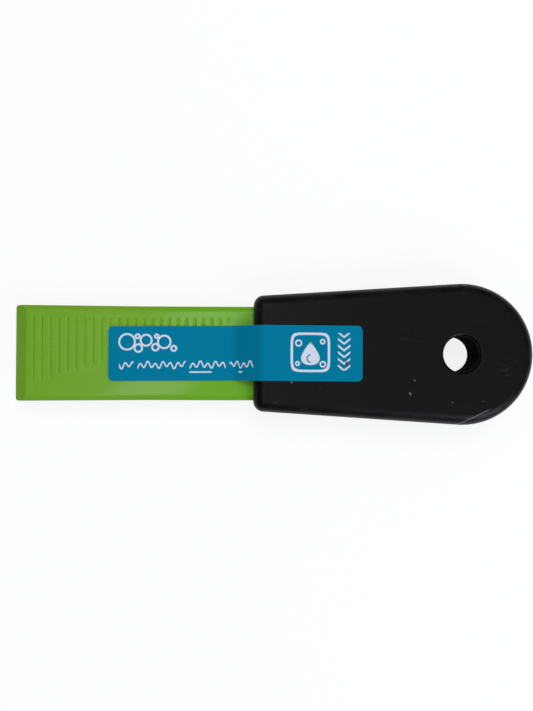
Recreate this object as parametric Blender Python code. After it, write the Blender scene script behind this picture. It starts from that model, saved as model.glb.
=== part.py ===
"""Hand scraper with a pull-out plastic blade, in metres, +Z up.

The blade points towards -X and the handle towards +X. The tool lies on the flat underside of its
handle. The origin is under the middle of the tool's length, on the surface that it lies on.

The handle is two moulded shells, closed by four screws from below. They hold the blade's forked
tang between ribs. The fork straddles the front screw post, and two bowed leaf springs click into
notches under its legs. A ground steel strip in the mouth stands just under the blade, so that its
front edge is trimmed as it is drawn out.
"""

import math

import bmesh
import bpy
from mathutils import Matrix, Vector

# Blade: a flat bar with a bevelled front edge, chamfered sides and a forked tang.
BLADE_REACH = 0.0959
BLADE_THICKNESS = 0.0040
BLADE_WIDTH = 0.0377
TIP_FLARE = 0.0004
FLARE_LENGTH = 0.0520
TIP_CORNER_RADIUS = 0.0011
BEVEL_LENGTH = 0.0051
EDGE_LAND = 0.0004
CHAMFER_WIDTH = 0.0018
CHAMFER_DEPTH = 0.0011
TANG_LENGTH = 0.0560
TANG_LEAD_IN = 0.0020
FORK_DEPTH = 0.0260

# Grooves across the top of the blade, longest at the tip.
GROOVE_PITCH = 0.00339
FIRST_GROOVE_TO_TIP = 0.0080
LAST_GROOVE_TO_MOUTH = 0.0099
GROOVE_WIDTH = 0.0011
GROOVE_DEPTH = 0.0005
GROOVE_HIP = 0.0005
GROOVE_TO_SIDE = 0.0044
FIRST_GROOVE_TO_FAR_SIDE = 0.0064
LAST_GROOVE_LENGTH = 0.0027

# Handle, seen from above: a straight mouth, sides that spread, and a half-round rear end.
HANDLE_HEIGHT = 0.0170
MOUTH_SIDE = 0.0042
END_RADIUS = 0.0284
END_BEHIND_TANG = 0.0271
CORNER_RADIUS = 0.0040
SHARPEST_CORNER = 0.0003
EDGE_RADIUS = 0.0045
DRAFT_INSET = 0.0002
SHELL_WALL = 0.0026
SEAM_GAP = 0.0003
TONGUE_HEIGHT = 0.0012
TONGUE_WIDTH = 0.0009
TONGUE_SETBACK = 0.0002

# Hanging hole, a little in front of the centre of the round end.
HOLE_BEFORE_END = 0.0011
HOLE_RADIUS = 0.0072
HOLE_RIM_RADIUS = 0.0012
HOLE_WALL = 0.0020

# Clearances, how far a cutter runs past what it cuts, and how near two points are made one.
CLEARANCE = 0.0003
SCREW_GAP = 0.0002
OVERRUN = 0.0020
WELD = 0.000001

# Ribs that stiffen the shells and guide the blade, and the bed under the blade in the mouth.
RIB = 0.0014
RIB_BITE = 0.0008
BED_LENGTH = 0.0110

# Screws, driven up from the underside.
BOSS_RADIUS = 0.0033
SHANK_RADIUS = 0.0012
SHANK_POINT = 0.0010
HEAD_RADIUS = 0.0026
HEAD_HEIGHT = 0.0018
HEAD_ROUNDING = 0.0005
HEAD_SUNK = 0.0009
CROSS_LENGTH = 0.0030
CROSS_WIDTH = 0.0007
CROSS_DEPTH = 0.0010
COVER_OVER_SCREW = 0.0034
SIDE_SCREW_BEHIND_TANG = 0.0100
SIDE_SCREW_Y = 0.0155
REAR_SCREW_TO_END = 0.0109

# Bowed leaf springs under the legs of the tang.
SPRING_WIDTH = 0.0070
SPRING_THICKNESS = 0.0004
SPRING_BOW = 0.0180
SPRING_FOOT = 0.0018
DETENT_DEPTH = 0.0005
NOTCH_HALF_LENGTH = 0.0034
NOTCH_SIDE_ROOM = 0.0006

# Steel trimming strip in the mouth.
STRIP_TO_MOUTH = 0.0078
STRIP_TO_BLADE_SIDE = 0.0009
STRIP_HEIGHT = 0.0042
STRIP_THICKNESS = 0.0008
STRIP_TILT = math.radians(50)
STRIP_GRIND = math.radians(35)

# Label, stuck along the top of the handle and laid on the blade.
LABEL_WIDTH = 0.0218
LABEL_THICKNESS = 0.00025
LABEL_ON_HANDLE = 0.0427
LABEL_BEFORE_MOUTH = 0.0578
LABEL_CORNER_RADIUS = 0.0020
LABEL_BEND_RADIUS = 0.0070
LABEL_SLOPE = math.radians(31)

# Facets.
CORNER_STEPS = 4
END_STEPS = 34
EDGE_STEPS = 5
BORE_STEPS = 32
POST_STEPS = 20
RIM_STEPS = 4
BOW_STEPS = 16
BEND_STEPS = 6
SHARP_ANGLE = math.radians(25)

# Places that follow from the sizes.
HALF_BLADE = BLADE_WIDTH / 2
CHANNEL_HALF_WIDTH = HALF_BLADE + CLEARANCE
MOUTH_WIDTH = BLADE_WIDTH + 2 * MOUTH_SIDE
HANDLE_LENGTH = TANG_LENGTH + END_BEHIND_TANG + END_RADIUS
TOTAL_LENGTH = BLADE_REACH + HANDLE_LENGTH
TIP_X = -TOTAL_LENGTH / 2
MOUTH_X = TIP_X + BLADE_REACH
TANG_END_X = MOUTH_X + TANG_LENGTH
CHANNEL_END_X = TANG_END_X + CLEARANCE
END_X = TANG_END_X + END_BEHIND_TANG
HOLE_X = END_X - HOLE_BEFORE_END
SEAM_Z = HANDLE_HEIGHT / 2
BLADE_BOTTOM_Z = SEAM_Z - BLADE_THICKNESS / 2
BLADE_TOP_Z = SEAM_Z + BLADE_THICKNESS / 2
GROOVED_LENGTH = BLADE_REACH - FIRST_GROOVE_TO_TIP - LAST_GROOVE_TO_MOUTH
GROOVE_COUNT = round(GROOVED_LENGTH / GROOVE_PITCH) + 1
FORK_HALF_WIDTH = BOSS_RADIUS + CLEARANCE
POST_X = TANG_END_X - FORK_DEPTH
SIDE_SCREW_X = TANG_END_X + SIDE_SCREW_BEHIND_TANG
REAR_SCREW_X = END_X + END_RADIUS - REAR_SCREW_TO_END
SCREW_PLACES = {
    "front": (POST_X, 0.0),
    "left": (SIDE_SCREW_X, SIDE_SCREW_Y),
    "right": (SIDE_SCREW_X, -SIDE_SCREW_Y),
    "rear": (REAR_SCREW_X, 0.0),
}
HEAD_SEAT_Z = HEAD_SUNK + HEAD_HEIGHT + SCREW_GAP
PILOT_TOP_Z = HANDLE_HEIGHT - COVER_OVER_SCREW
END_WALL_X = CHANNEL_END_X - RIB_BITE
SPRING_X = END_WALL_X - CLEARANCE - SPRING_FOOT - SPRING_BOW / 2
SPRING_Y = (FORK_HALF_WIDTH + HALF_BLADE) / 2
SPRING_Z = SHELL_WALL + CLEARANCE
STRIP_X = MOUTH_X + STRIP_TO_MOUTH
STRIP_Z = BLADE_BOTTOM_Z - CLEARANCE
STRIP_HALF_LENGTH = HALF_BLADE - STRIP_TO_BLADE_SIDE
SIDE_SIGNS = {"left": 1, "right": -1}


def clear_scene():
    for obj in list(bpy.data.objects):
        bpy.data.objects.remove(obj, do_unlink=True)


def plastic_or_metal(name, colour, roughness, metallic=0.0):
    """A Principled material of one colour."""
    material = bpy.data.materials.new(name)
    material.use_nodes = True
    shader = material.node_tree.nodes["Principled BSDF"]
    shader.inputs["Base Color"].default_value = (*colour, 1.0)
    shader.inputs["Roughness"].default_value = roughness
    shader.inputs["Metallic"].default_value = metallic
    return material


def linked(name, data):
    """A new object in the scene. With no data it is an empty."""
    obj = bpy.data.objects.new(name, data)
    bpy.context.scene.collection.objects.link(obj)
    return obj


def object_from(bm, name):
    """Links the bmesh as an object, with its faces pointing out."""
    bmesh.ops.recalc_face_normals(bm, faces=bm.faces)
    mesh = bpy.data.meshes.new(name)
    bm.to_mesh(mesh)
    bm.free()
    return linked(name, mesh)


def loft(name, rings):
    """A closed solid through rings of equally many points, with both ends capped."""
    bm = bmesh.new()
    loops = [[bm.verts.new(point) for point in ring] for ring in rings]
    for near, far in zip(loops, loops[1:]):
        for i, corner in enumerate(near):
            j = (i + 1) % len(near)
            bm.faces.new((corner, near[j], far[j], far[i]))
    bm.faces.new(loops[0])
    bm.faces.new(loops[-1])
    return object_from(bm, name)


def block(x_range, y_range, z_range):
    """A box between three pairs of limits."""
    corners = ((0, 0), (1, 0), (1, 1), (0, 1))
    rings = [[Vector((x_range[a], y_range[b], z)) for a, b in corners] for z in z_range]
    return loft("block", rings)


def circle(centre, radius, z, steps):
    """A level ring of points round a centre in plan."""
    turns = [2 * math.pi * i / steps for i in range(steps)]
    return [
        Vector((centre[0] + radius * math.cos(a), centre[1] + radius * math.sin(a), z))
        for a in turns
    ]


def turned(name, centre, profile, steps):
    """A solid turned about a vertical axis, from a profile of (radius, z)."""
    return loft(name, [circle(centre, radius, z, steps) for radius, z in profile])


def across(name, section, half_width):
    """A section in X and Z, carried across the tool from -Y to +Y."""
    sides = (-half_width, half_width)
    return loft(name, [[Vector((x, y, z)) for x, z in section] for y in sides])


def boolean(body, tool, operation):
    """Applies one Boolean to the body, makes points that all but meet one, and removes the tool."""
    modifier = body.modifiers.new(operation.title(), "BOOLEAN")
    modifier.operation = operation
    modifier.solver = "EXACT"
    modifier.object = tool
    graph = bpy.context.evaluated_depsgraph_get()
    mesh = bpy.data.meshes.new_from_object(body.evaluated_get(graph))
    body.modifiers.clear()
    bm = bmesh.new()
    bm.from_mesh(mesh)
    bmesh.ops.remove_doubles(bm, verts=bm.verts, dist=WELD)
    bm.to_mesh(mesh)
    bm.free()
    body.data = mesh
    bpy.data.objects.remove(tool, do_unlink=True)
    return body


def cut(body, *tools):
    for tool in tools:
        boolean(body, tool, "DIFFERENCE")
    return body


def join(body, *tools):
    for tool in tools:
        boolean(body, tool, "UNION")
    return body


def finish(obj, name, material, carrier):
    """Names a finished piece, gives it its material and carrier and shades its round faces."""
    obj.name = name
    obj.data.name = name
    obj.data.materials.clear()
    obj.data.materials.append(material)
    obj.data.shade_smooth()
    obj.data.set_sharp_from_angle(angle=SHARP_ANGLE)
    obj.parent = carrier
    return obj


def copies(first, name, places, carrier):
    """One object for each named place. They share the mesh of the first, which is removed."""
    for place_name, place in places.items():
        copy = linked(f"{name}_{place_name}", first.data)
        copy.location = place
        copy.parent = carrier
    bpy.data.objects.remove(first, do_unlink=True)


def arc(centre, radius, start, end, steps):
    """Points of an arc in a plane, both ends included."""
    angles = [start + (end - start) * i / steps for i in range(steps + 1)]
    return [(centre[0] + radius * math.cos(a), centre[1] + radius * math.sin(a)) for a in angles]


def side_spread():
    """The angle between each side of the handle and its centre line.

    The side is the line at END_RADIUS from the centre of the round end, through the mouth's corner.
    """
    reach = END_X - MOUTH_X
    half_mouth = MOUTH_WIDTH / 2
    return math.asin(END_RADIUS / math.hypot(reach, half_mouth)) - math.atan2(half_mouth, reach)


def handle_ring(inset, z):
    """The handle's outline in plan, moved inwards by the inset, as a ring at one height."""
    spread = side_spread()
    corner = max(CORNER_RADIUS - inset, SHARPEST_CORNER)
    corner_x = MOUTH_X + inset + corner
    to_side = END_RADIUS - inset - corner
    corner_y = (to_side + math.sin(spread) * (corner_x - END_X)) / math.cos(spread)
    quarter = math.pi / 2
    half = (
        arc((END_X, 0.0), END_RADIUS - inset, 0.0, quarter + spread, END_STEPS // 2)
        + arc((corner_x, corner_y), corner, quarter + spread, math.pi, CORNER_STEPS)
    )
    other_half = [(x, -y) for x, y in reversed(half[1:])]
    return [Vector((x, y, z)) for x, y in half + other_half]


def handle_skin(side, start, wall):
    """Half of the handle, moved inwards by a wall: rings from a height by the seam to the face.

    side is 1 for the upper half and -1 for the lower. start is the height above the seam, away
    from it on that side, where the solid begins.
    """
    radius = EDGE_RADIUS - wall
    face = HANDLE_HEIGHT / 2 - wall
    levels = [(start, wall)]
    for i in range(EDGE_STEPS + 1):
        turn = math.pi / 2 * i / EDGE_STEPS
        height = face - radius * (1 - math.sin(turn))
        levels.append((height, wall + DRAFT_INSET + radius * (1 - math.cos(turn))))
    return loft("skin", [handle_ring(inset, SEAM_Z + side * height) for height, inset in levels])


def seam_band(side, outer_inset, inner_inset, start, end):
    """A band that follows the outline between two insets, by the seam."""
    heights = [SEAM_Z + side * start, SEAM_Z + side * end]
    past = [SEAM_Z + side * (start - OVERRUN), SEAM_Z + side * (end + OVERRUN)]
    band = loft("band", [handle_ring(outer_inset, z) for z in heights])
    return cut(band, loft("band core", [handle_ring(inner_inset, z) for z in past]))


def rib_levels(side):
    """Heights between which ribs and bosses are made. They run past both faces of the shell."""
    return SEAM_Z - side * OVERRUN, SEAM_Z + side * (HANDLE_HEIGHT / 2 + OVERRUN)


def rib(side, x_range, y_range):
    return block(x_range, y_range, rib_levels(side))


def rib_along(side, x_range, y):
    return rib(side, x_range, (y - RIB / 2, y + RIB / 2))


def rib_across(side, x, y_range):
    return rib(side, (x - RIB / 2, x + RIB / 2), y_range)


def channel_ribs(side):
    """Ribs of both shells at the blade: rails beside it, runners on its flat, and an end wall.

    The rails and the end wall reach RIB_BITE into the channel, which is cut through them later and
    leaves ledges above and below the blade.
    """
    front = MOUTH_X + SHELL_WALL - RIB_BITE
    rail_inside = CHANNEL_HALF_WIDTH - RIB_BITE
    rail_outside = CHANNEL_HALF_WIDTH + RIB
    end_wall_back = CHANNEL_END_X + RIB
    runner_offset = SPRING_WIDTH / 2 + CLEARANCE + RIB / 2
    ribs = [rib(side, (END_WALL_X, end_wall_back), (-rail_outside, rail_outside))]
    for sign in SIDE_SIGNS.values():
        ribs.append(rib(side, (front, end_wall_back), (sign * rail_inside, sign * rail_outside)))
        for y in (SPRING_Y - runner_offset, SPRING_Y + runner_offset):
            ribs.append(rib_along(side, (front, CHANNEL_END_X), sign * y))
    return ribs


def pocket_ribs():
    """Ribs of the lower shell alone: the bed in the mouth and the front of the spring pockets."""
    across_channel = (-CHANNEL_HALF_WIDTH, CHANNEL_HALF_WIDTH)
    bed = (MOUTH_X + SHELL_WALL - RIB_BITE, MOUTH_X + BED_LENGTH)
    pocket_front = SPRING_X - SPRING_BOW / 2 - SPRING_FOOT - CLEARANCE - RIB / 2
    return [rib(-1, bed, across_channel), rib_across(-1, pocket_front, across_channel)]


def mouth_rib():
    """A rib of the upper shell alone, across the blade over the back of the bed."""
    across_channel = (-CHANNEL_HALF_WIDTH, CHANNEL_HALF_WIDTH)
    return [rib_across(1, MOUTH_X + BED_LENGTH - RIB / 2, across_channel)]


def rear_ribs(side):
    """Ribs behind the blade, between the screw bosses, the hole and the outer wall."""
    across_handle = (-END_RADIUS, END_RADIUS)
    to_rear = (CHANNEL_END_X + RIB / 2, END_X + END_RADIUS)
    ribs = [rib_across(side, x, across_handle) for x in (SIDE_SCREW_X, HOLE_X)]
    ribs += [rib_along(side, to_rear, y) for y in (-SIDE_SCREW_Y, 0.0, SIDE_SCREW_Y)]
    return ribs


def handle_ribs(side, own_ribs):
    """The ribs, the bosses behind the blade and the wall round the hole, kept inside the shell."""
    ring = [(HOLE_RADIUS + HOLE_WALL, z) for z in rib_levels(side)]
    boss = [(BOSS_RADIUS, z) for z in rib_levels(side)]
    behind_blade = [place for name, place in SCREW_PLACES.items() if name != "front"]
    bosses = [turned("boss", place, boss, POST_STEPS) for place in behind_blade]
    ribs = turned("ribs", (HOLE_X, 0.0), ring, BORE_STEPS)
    join(ribs, *channel_ribs(side), *rear_ribs(side), *own_ribs, *bosses)
    return boolean(ribs, handle_skin(side, SEAM_GAP / 2, SHELL_WALL - RIB_BITE), "INTERSECT")


def blade_section(half_width, room):
    """The blade's section in Y and Z, with room added all round."""
    wide = half_width + room
    narrow = wide - CHAMFER_WIDTH
    low = BLADE_BOTTOM_Z - room
    high = BLADE_TOP_Z + room
    shoulder = high - CHAMFER_DEPTH
    right = [(wide, low), (wide, shoulder), (narrow, high)]
    return right + [(-y, z) for y, z in reversed(right)]


def blade_channel():
    """The space that the blade slides in, open at the mouth."""
    section = blade_section(HALF_BLADE, CLEARANCE)
    ends = (MOUTH_X - OVERRUN, CHANNEL_END_X)
    return loft("channel", [[Vector((x, y, z)) for y, z in section] for x in ends])


def front_post(side):
    """The screw post that stands in the channel, in the blade's fork, from the seam to the wall."""
    heights = (SEAM_GAP / 2, HANDLE_HEIGHT / 2 - SHELL_WALL + RIB_BITE)
    profile = [(BOSS_RADIUS, SEAM_Z + side * height) for height in heights]
    return turned("post", SCREW_PLACES["front"], profile, POST_STEPS)


def hanging_hole():
    """The bore, flared at both faces by a rim radius."""
    flare = []
    for i in range(RIM_STEPS + 1):
        turn = math.pi / 2 * i / RIM_STEPS
        radius = HOLE_RADIUS + HOLE_RIM_RADIUS * (1 - math.cos(turn))
        flare.append((radius, HANDLE_HEIGHT - HOLE_RIM_RADIUS * (1 - math.sin(turn))))
    wide = HOLE_RADIUS + HOLE_RIM_RADIUS
    upper = flare + [(wide, HANDLE_HEIGHT + OVERRUN)]
    lower = [(radius, HANDLE_HEIGHT - z) for radius, z in reversed(upper)]
    return turned("bore", (HOLE_X, 0.0), lower + upper, BORE_STEPS)


def shell(side, own_ribs):
    """One half of the handle before the cuts that only it has."""
    body = handle_skin(side, SEAM_GAP / 2, 0.0)
    cut(body, handle_skin(side, -OVERRUN, SHELL_WALL))
    return join(body, handle_ribs(side, own_ribs))


def upper_shell(material, carrier):
    """The upper half: blind pilot holes, and a rebate for the lower half's tongue."""
    body = shell(1, mouth_rib())
    outer = SHELL_WALL - TONGUE_SETBACK - TONGUE_WIDTH - CLEARANCE
    inner = SHELL_WALL + CLEARANCE
    cut(body, seam_band(1, outer, inner, -OVERRUN, TONGUE_HEIGHT + CLEARANCE))
    cut(body, blade_channel(), hanging_hole())
    join(body, front_post(1))
    hole = [(SHANK_RADIUS + SCREW_GAP, z) for z in (SEAM_Z - OVERRUN, PILOT_TOP_Z)]
    cut(body, *[turned("pilot", place, hole, POST_STEPS) for place in SCREW_PLACES.values()])
    return finish(body, "upper_shell", material, carrier)


def strip_directions():
    """Unit vectors in X and Z up the leaning strip, and through it from its back to its front."""
    up = Vector((math.cos(STRIP_TILT), math.sin(STRIP_TILT)))
    return up, Vector((-up.y, up.x))


def strip_slot():
    """The slot that holds the strip in the bed, open towards the blade."""
    up, through = strip_directions()
    foot = Vector((STRIP_X, STRIP_Z)) - up * (STRIP_HEIGHT + SCREW_GAP)
    rise = up * (STRIP_HEIGHT + OVERRUN)
    back = foot - through * SCREW_GAP
    front = foot + through * (STRIP_THICKNESS + SCREW_GAP)
    section = [back, back + rise, front + rise, front]
    return across("strip slot", section, STRIP_HALF_LENGTH + SCREW_GAP)


def lower_shell(material, carrier):
    """The lower half: the tongue, sunk screw holes, and the slot for the trimming strip."""
    body = shell(-1, pocket_ribs())
    outer = SHELL_WALL - TONGUE_SETBACK - TONGUE_WIDTH
    inner = SHELL_WALL - TONGUE_SETBACK
    join(body, seam_band(-1, outer, inner, -TONGUE_HEIGHT, SEAM_GAP / 2 + RIB_BITE))
    cut(body, blade_channel(), hanging_hole())
    join(body, front_post(-1))
    head_room = HEAD_RADIUS + CLEARANCE
    shank_room = SHANK_RADIUS + SCREW_GAP
    hole = [
        (head_room, -OVERRUN),
        (head_room, HEAD_SEAT_Z),
        (shank_room, HEAD_SEAT_Z),
        (shank_room, SEAM_Z + OVERRUN),
    ]
    cut(body, *[turned("screw hole", place, hole, POST_STEPS) for place in SCREW_PLACES.values()])
    cut(body, strip_slot())
    return finish(body, "lower_shell", material, carrier)


def half_blade_at(along):
    """Half the blade's width at a distance from its edge, between its rounded and cut corners."""
    return HALF_BLADE + TIP_FLARE * max(0.0, 1 - along / FLARE_LENGTH)


def blade_stations():
    """(distance from the edge, half width) along the blade, from the tip to the tang's end."""
    length = BLADE_REACH + TANG_LENGTH
    stations = []
    for i in range(CORNER_STEPS + 1):
        turn = math.pi / 2 * i / CORNER_STEPS
        along = TIP_CORNER_RADIUS * (1 - math.cos(turn))
        stations.append((along, half_blade_at(along) - TIP_CORNER_RADIUS * (1 - math.sin(turn))))
    stations.append((FLARE_LENGTH, HALF_BLADE))
    stations.append((length - TANG_LEAD_IN, HALF_BLADE))
    stations.append((length, HALF_BLADE - TANG_LEAD_IN))
    return stations


def front_bevel():
    """A wedge that takes the top off the blade's front edge."""
    land_z = BLADE_BOTTOM_Z + EDGE_LAND
    rise = BLADE_TOP_Z - land_z
    past = OVERRUN * rise / BEVEL_LENGTH
    section = [
        (TIP_X - OVERRUN, land_z - past),
        (TIP_X + BEVEL_LENGTH + OVERRUN, BLADE_TOP_Z + past),
        (TIP_X - OVERRUN, BLADE_TOP_Z + past),
    ]
    return across("bevel", section, BLADE_WIDTH)


def fork_slot():
    """The slot that straddles the front screw post, open at the tang's end."""
    half = FORK_HALF_WIDTH
    plan = arc((POST_X, 0.0), half, math.pi / 2, 3 * math.pi / 2, POST_STEPS // 2)
    plan += [(TANG_END_X + OVERRUN, -half), (TANG_END_X + OVERRUN, half)]
    levels = (BLADE_BOTTOM_Z - OVERRUN, BLADE_TOP_Z + OVERRUN)
    return loft("fork slot", [[Vector((x, y, z)) for x, y in plan] for z in levels])


def detent_notch(sign):
    """A shallow round notch under one leg of the tang, over the crown of its spring."""
    depth = DETENT_DEPTH + CLEARANCE
    radius = (NOTCH_HALF_LENGTH**2 + depth**2) / (2 * depth)
    reach = math.asin(NOTCH_HALF_LENGTH / radius)
    crown = (SPRING_X, BLADE_BOTTOM_Z + depth - radius)
    section = arc(crown, radius, math.pi / 2 - reach, math.pi / 2 + reach, BEND_STEPS)
    section += [(SPRING_X - NOTCH_HALF_LENGTH, BLADE_BOTTOM_Z - OVERRUN)]
    section += [(SPRING_X + NOTCH_HALF_LENGTH, BLADE_BOTTOM_Z - OVERRUN)]
    notch = across("notch", section, SPRING_WIDTH / 2 + NOTCH_SIDE_ROOM)
    notch.data.transform(Matrix.Translation((0.0, sign * SPRING_Y, 0.0)))
    return notch


def groove_ends(index):
    """Both ends of a groove across the blade. The far ends run along one slanting line."""
    near = HALF_BLADE - GROOVE_TO_SIDE
    first_far = FIRST_GROOVE_TO_FAR_SIDE - HALF_BLADE
    last_far = near - LAST_GROOVE_LENGTH
    share = index / (GROOVE_COUNT - 1)
    return first_far + (last_far - first_far) * share, near


def groove_tools():
    """V-shaped troughs with sloping ends, one for each groove, in one mesh."""
    bm = bmesh.new()
    widen = (GROOVE_DEPTH + OVERRUN) / GROOVE_DEPTH
    half_top = GROOVE_WIDTH / 2 * widen
    hip = GROOVE_HIP * widen
    for i in range(GROOVE_COUNT):
        x = TIP_X + FIRST_GROOVE_TO_TIP + GROOVE_PITCH * i
        low_y, high_y = groove_ends(i)
        bottom_z = BLADE_TOP_Z - GROOVE_DEPTH
        top_z = BLADE_TOP_Z + OVERRUN
        bottom = [
            bm.verts.new((x, low_y + GROOVE_HIP, bottom_z)),
            bm.verts.new((x, high_y - GROOVE_HIP, bottom_z)),
        ]
        ends = (low_y + GROOVE_HIP - hip, high_y - GROOVE_HIP + hip)
        left = [bm.verts.new((x - half_top, y, top_z)) for y in ends]
        right = [bm.verts.new((x + half_top, y, top_z)) for y in ends]
        bm.faces.new((bottom[0], bottom[1], left[1], left[0]))
        bm.faces.new((bottom[0], bottom[1], right[1], right[0]))
        bm.faces.new((bottom[0], left[0], right[0]))
        bm.faces.new((bottom[1], left[1], right[1]))
        bm.faces.new((left[0], left[1], right[1], right[0]))
    return object_from(bm, "grooves")


def scraper_blade(material, slide):
    """The plastic blade with its bevel, grooves, fork and notches, carried by its slide's empty."""
    rings = []
    for along, half_width in blade_stations():
        section = blade_section(half_width, 0.0)
        rings.append([Vector((TIP_X + along, y, z)) for y, z in section])
    body = loft("blade", rings)
    cut(body, front_bevel(), fork_slot(), groove_tools())
    cut(body, *[detent_notch(sign) for sign in SIDE_SIGNS.values()])
    body.data.transform(Matrix.Translation(-slide.location))
    return finish(body, "scraper_blade", material, slide)


def trimming_strip(material, carrier):
    """The steel strip, with its ground edge at its origin. It leans towards the rear."""
    up, through = strip_directions()
    ground = up * (STRIP_THICKNESS / math.tan(STRIP_GRIND))
    front = through * STRIP_THICKNESS
    foot = -up * STRIP_HEIGHT
    section = [foot, Vector((0.0, 0.0)), front - ground, foot + front]
    strip = across("strip", section, STRIP_HALF_LENGTH)
    strip.location = (STRIP_X, 0.0, STRIP_Z)
    return finish(strip, "trimming_strip", material, carrier)


def leaf_springs(material, carrier):
    """Strips bowed up between two flat feet. Each crown stands in a notch of the blade."""
    half = SPRING_THICKNESS / 2
    crown = BLADE_BOTTOM_Z + DETENT_DEPTH - SPRING_Z - SPRING_THICKNESS
    half_bow = SPRING_BOW / 2
    line = [(-half_bow - SPRING_FOOT, half)]
    for i in range(BOW_STEPS + 1):
        share = i / BOW_STEPS
        lift = math.sin(math.pi * share) ** 2
        line.append((SPRING_BOW * share - half_bow, half + crown * lift))
    line.append((half_bow + SPRING_FOOT, half))
    section = [(x, z + half) for x, z in line] + [(x, z - half) for x, z in reversed(line)]
    spring = finish(across("spring", section, SPRING_WIDTH / 2), "leaf spring", material, carrier)
    places = {name: (SPRING_X, sign * SPRING_Y, SPRING_Z) for name, sign in SIDE_SIGNS.items()}
    copies(spring, "detent_spring", places, carrier)


def shell_screws(material, carrier):
    """Pan-head screws with a cross recess, their heads sunk in the underside."""
    tip = PILOT_TOP_Z - CLEARANCE - HEAD_SUNK
    profile = [
        (HEAD_RADIUS - HEAD_ROUNDING, 0.0),
        (HEAD_RADIUS, HEAD_ROUNDING),
        (HEAD_RADIUS, HEAD_HEIGHT),
        (SHANK_RADIUS, HEAD_HEIGHT),
        (SHANK_RADIUS, tip - SHANK_POINT),
        (SHANK_RADIUS / 2, tip),
    ]
    screw = turned("screw", (0.0, 0.0), profile, POST_STEPS)
    for length_x, length_y in ((CROSS_LENGTH, CROSS_WIDTH), (CROSS_WIDTH, CROSS_LENGTH)):
        x_range = (-length_x / 2, length_x / 2)
        y_range = (-length_y / 2, length_y / 2)
        cut(screw, block(x_range, y_range, (-OVERRUN, CROSS_DEPTH)))
    finish(screw, "pan-head screw", material, carrier)
    places = {name: (x, y, HEAD_SUNK) for name, (x, y) in SCREW_PLACES.items()}
    copies(screw, "shell_screw", places, carrier)


def label_line():
    """The label's underside in X and Z, from its front end on the blade to its rear end.

    It lies flat, bends up, runs straight to the rounded front edge of the handle, follows that
    edge, and lies flat on the handle.
    """
    low = BLADE_TOP_Z + CLEARANCE
    edge_radius = EDGE_RADIUS + CLEARANCE
    edge_centre = (MOUTH_X + DRAFT_INSET + EDGE_RADIUS, HANDLE_HEIGHT - EDGE_RADIUS)
    quarter = math.pi / 2
    over_edge = arc(edge_centre, edge_radius, quarter + LABEL_SLOPE, quarter, BEND_STEPS)
    touch_x, touch_z = over_edge[0]
    bend_rise = LABEL_BEND_RADIUS * (1 - math.cos(LABEL_SLOPE))
    straight_run = (touch_z - low - bend_rise) / math.tan(LABEL_SLOPE)
    bend_end_x = touch_x - straight_run
    bend_centre = (bend_end_x - LABEL_BEND_RADIUS * math.sin(LABEL_SLOPE), low + LABEL_BEND_RADIUS)
    bend = arc(bend_centre, LABEL_BEND_RADIUS, -quarter, -quarter + LABEL_SLOPE, BEND_STEPS)
    front_x = MOUTH_X - LABEL_BEFORE_MOUTH
    rear_x = MOUTH_X + LABEL_ON_HANDLE
    front = [(front_x + run, low) for run in corner_runs()]
    rear = [(rear_x - run, HANDLE_HEIGHT + CLEARANCE) for run in reversed(corner_runs())]
    return front + bend + over_edge + rear


def corner_runs():
    """Distances from an end of the label where its corner arc is drawn."""
    turns = [math.pi / 2 * i / CORNER_STEPS for i in range(CORNER_STEPS + 1)]
    return [LABEL_CORNER_RADIUS * (1 - math.cos(a)) for a in turns]


def half_label_at(run):
    """Half the label's width at a distance from its nearer end."""
    short = max(0.0, LABEL_CORNER_RADIUS - run)
    return LABEL_WIDTH / 2 - LABEL_CORNER_RADIUS + math.sqrt(LABEL_CORNER_RADIUS**2 - short**2)


def label(material, carrier):
    """A thin strap over the step between the blade and the handle."""
    line = label_line()
    rings = []
    for i, (x, z) in enumerate(line):
        before, after = line[max(i - 1, 0)], line[min(i + 1, len(line) - 1)]
        slope = math.atan2(after[1] - before[1], after[0] - before[0])
        top_x = x - LABEL_THICKNESS * math.sin(slope)
        top_z = z + LABEL_THICKNESS * math.cos(slope)
        half = half_label_at(min(x - line[0][0], line[-1][0] - x))
        ring = [(x, -half, z), (x, half, z), (top_x, half, top_z), (top_x, -half, top_z)]
        rings.append([Vector(point) for point in ring])
    return finish(loft("label", rings), "label", material, carrier)


def main():
    clear_scene()
    green = plastic_or_metal("green plastic", (0.168, 0.366, 0.033), 0.38)
    black = plastic_or_metal("black soft-touch plastic", (0.013, 0.012, 0.013), 0.62)
    blue = plastic_or_metal("blue label film", (0.002, 0.190, 0.360), 0.30)
    steel = plastic_or_metal("spring steel", (0.56, 0.56, 0.55), 0.28, 1.0)
    zinc = plastic_or_metal("zinc-plated steel", (0.60, 0.60, 0.62), 0.35, 1.0)
    handle = linked("handle", None)
    slide = linked("blade slide", None)
    slide.parent = handle
    slide.location = (MOUTH_X, 0.0, SEAM_Z)
    upper_shell(black, handle)
    lower_shell(black, handle)
    scraper_blade(green, slide)
    trimming_strip(steel, handle)
    leaf_springs(steel, handle)
    shell_screws(zinc, handle)
    label(blue, handle)


if __name__ == "__main__":
    main()
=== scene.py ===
"""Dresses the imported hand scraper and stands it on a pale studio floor.

A green blade slides out of a black handle of two shells. The shells hold screws, leaf springs and a
steel strip, and a blue label bridges the blade and the handle.

Lengths are in metres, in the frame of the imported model: the blade points towards -X and +Z is up.
Each shape is a numpy grid of points, and a finished piece has its place in its mesh. The file is
laid out as an add-on and runs as a script, in which main() makes every piece in turn.
"""

import math
from contextlib import contextmanager
from functools import reduce

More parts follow.
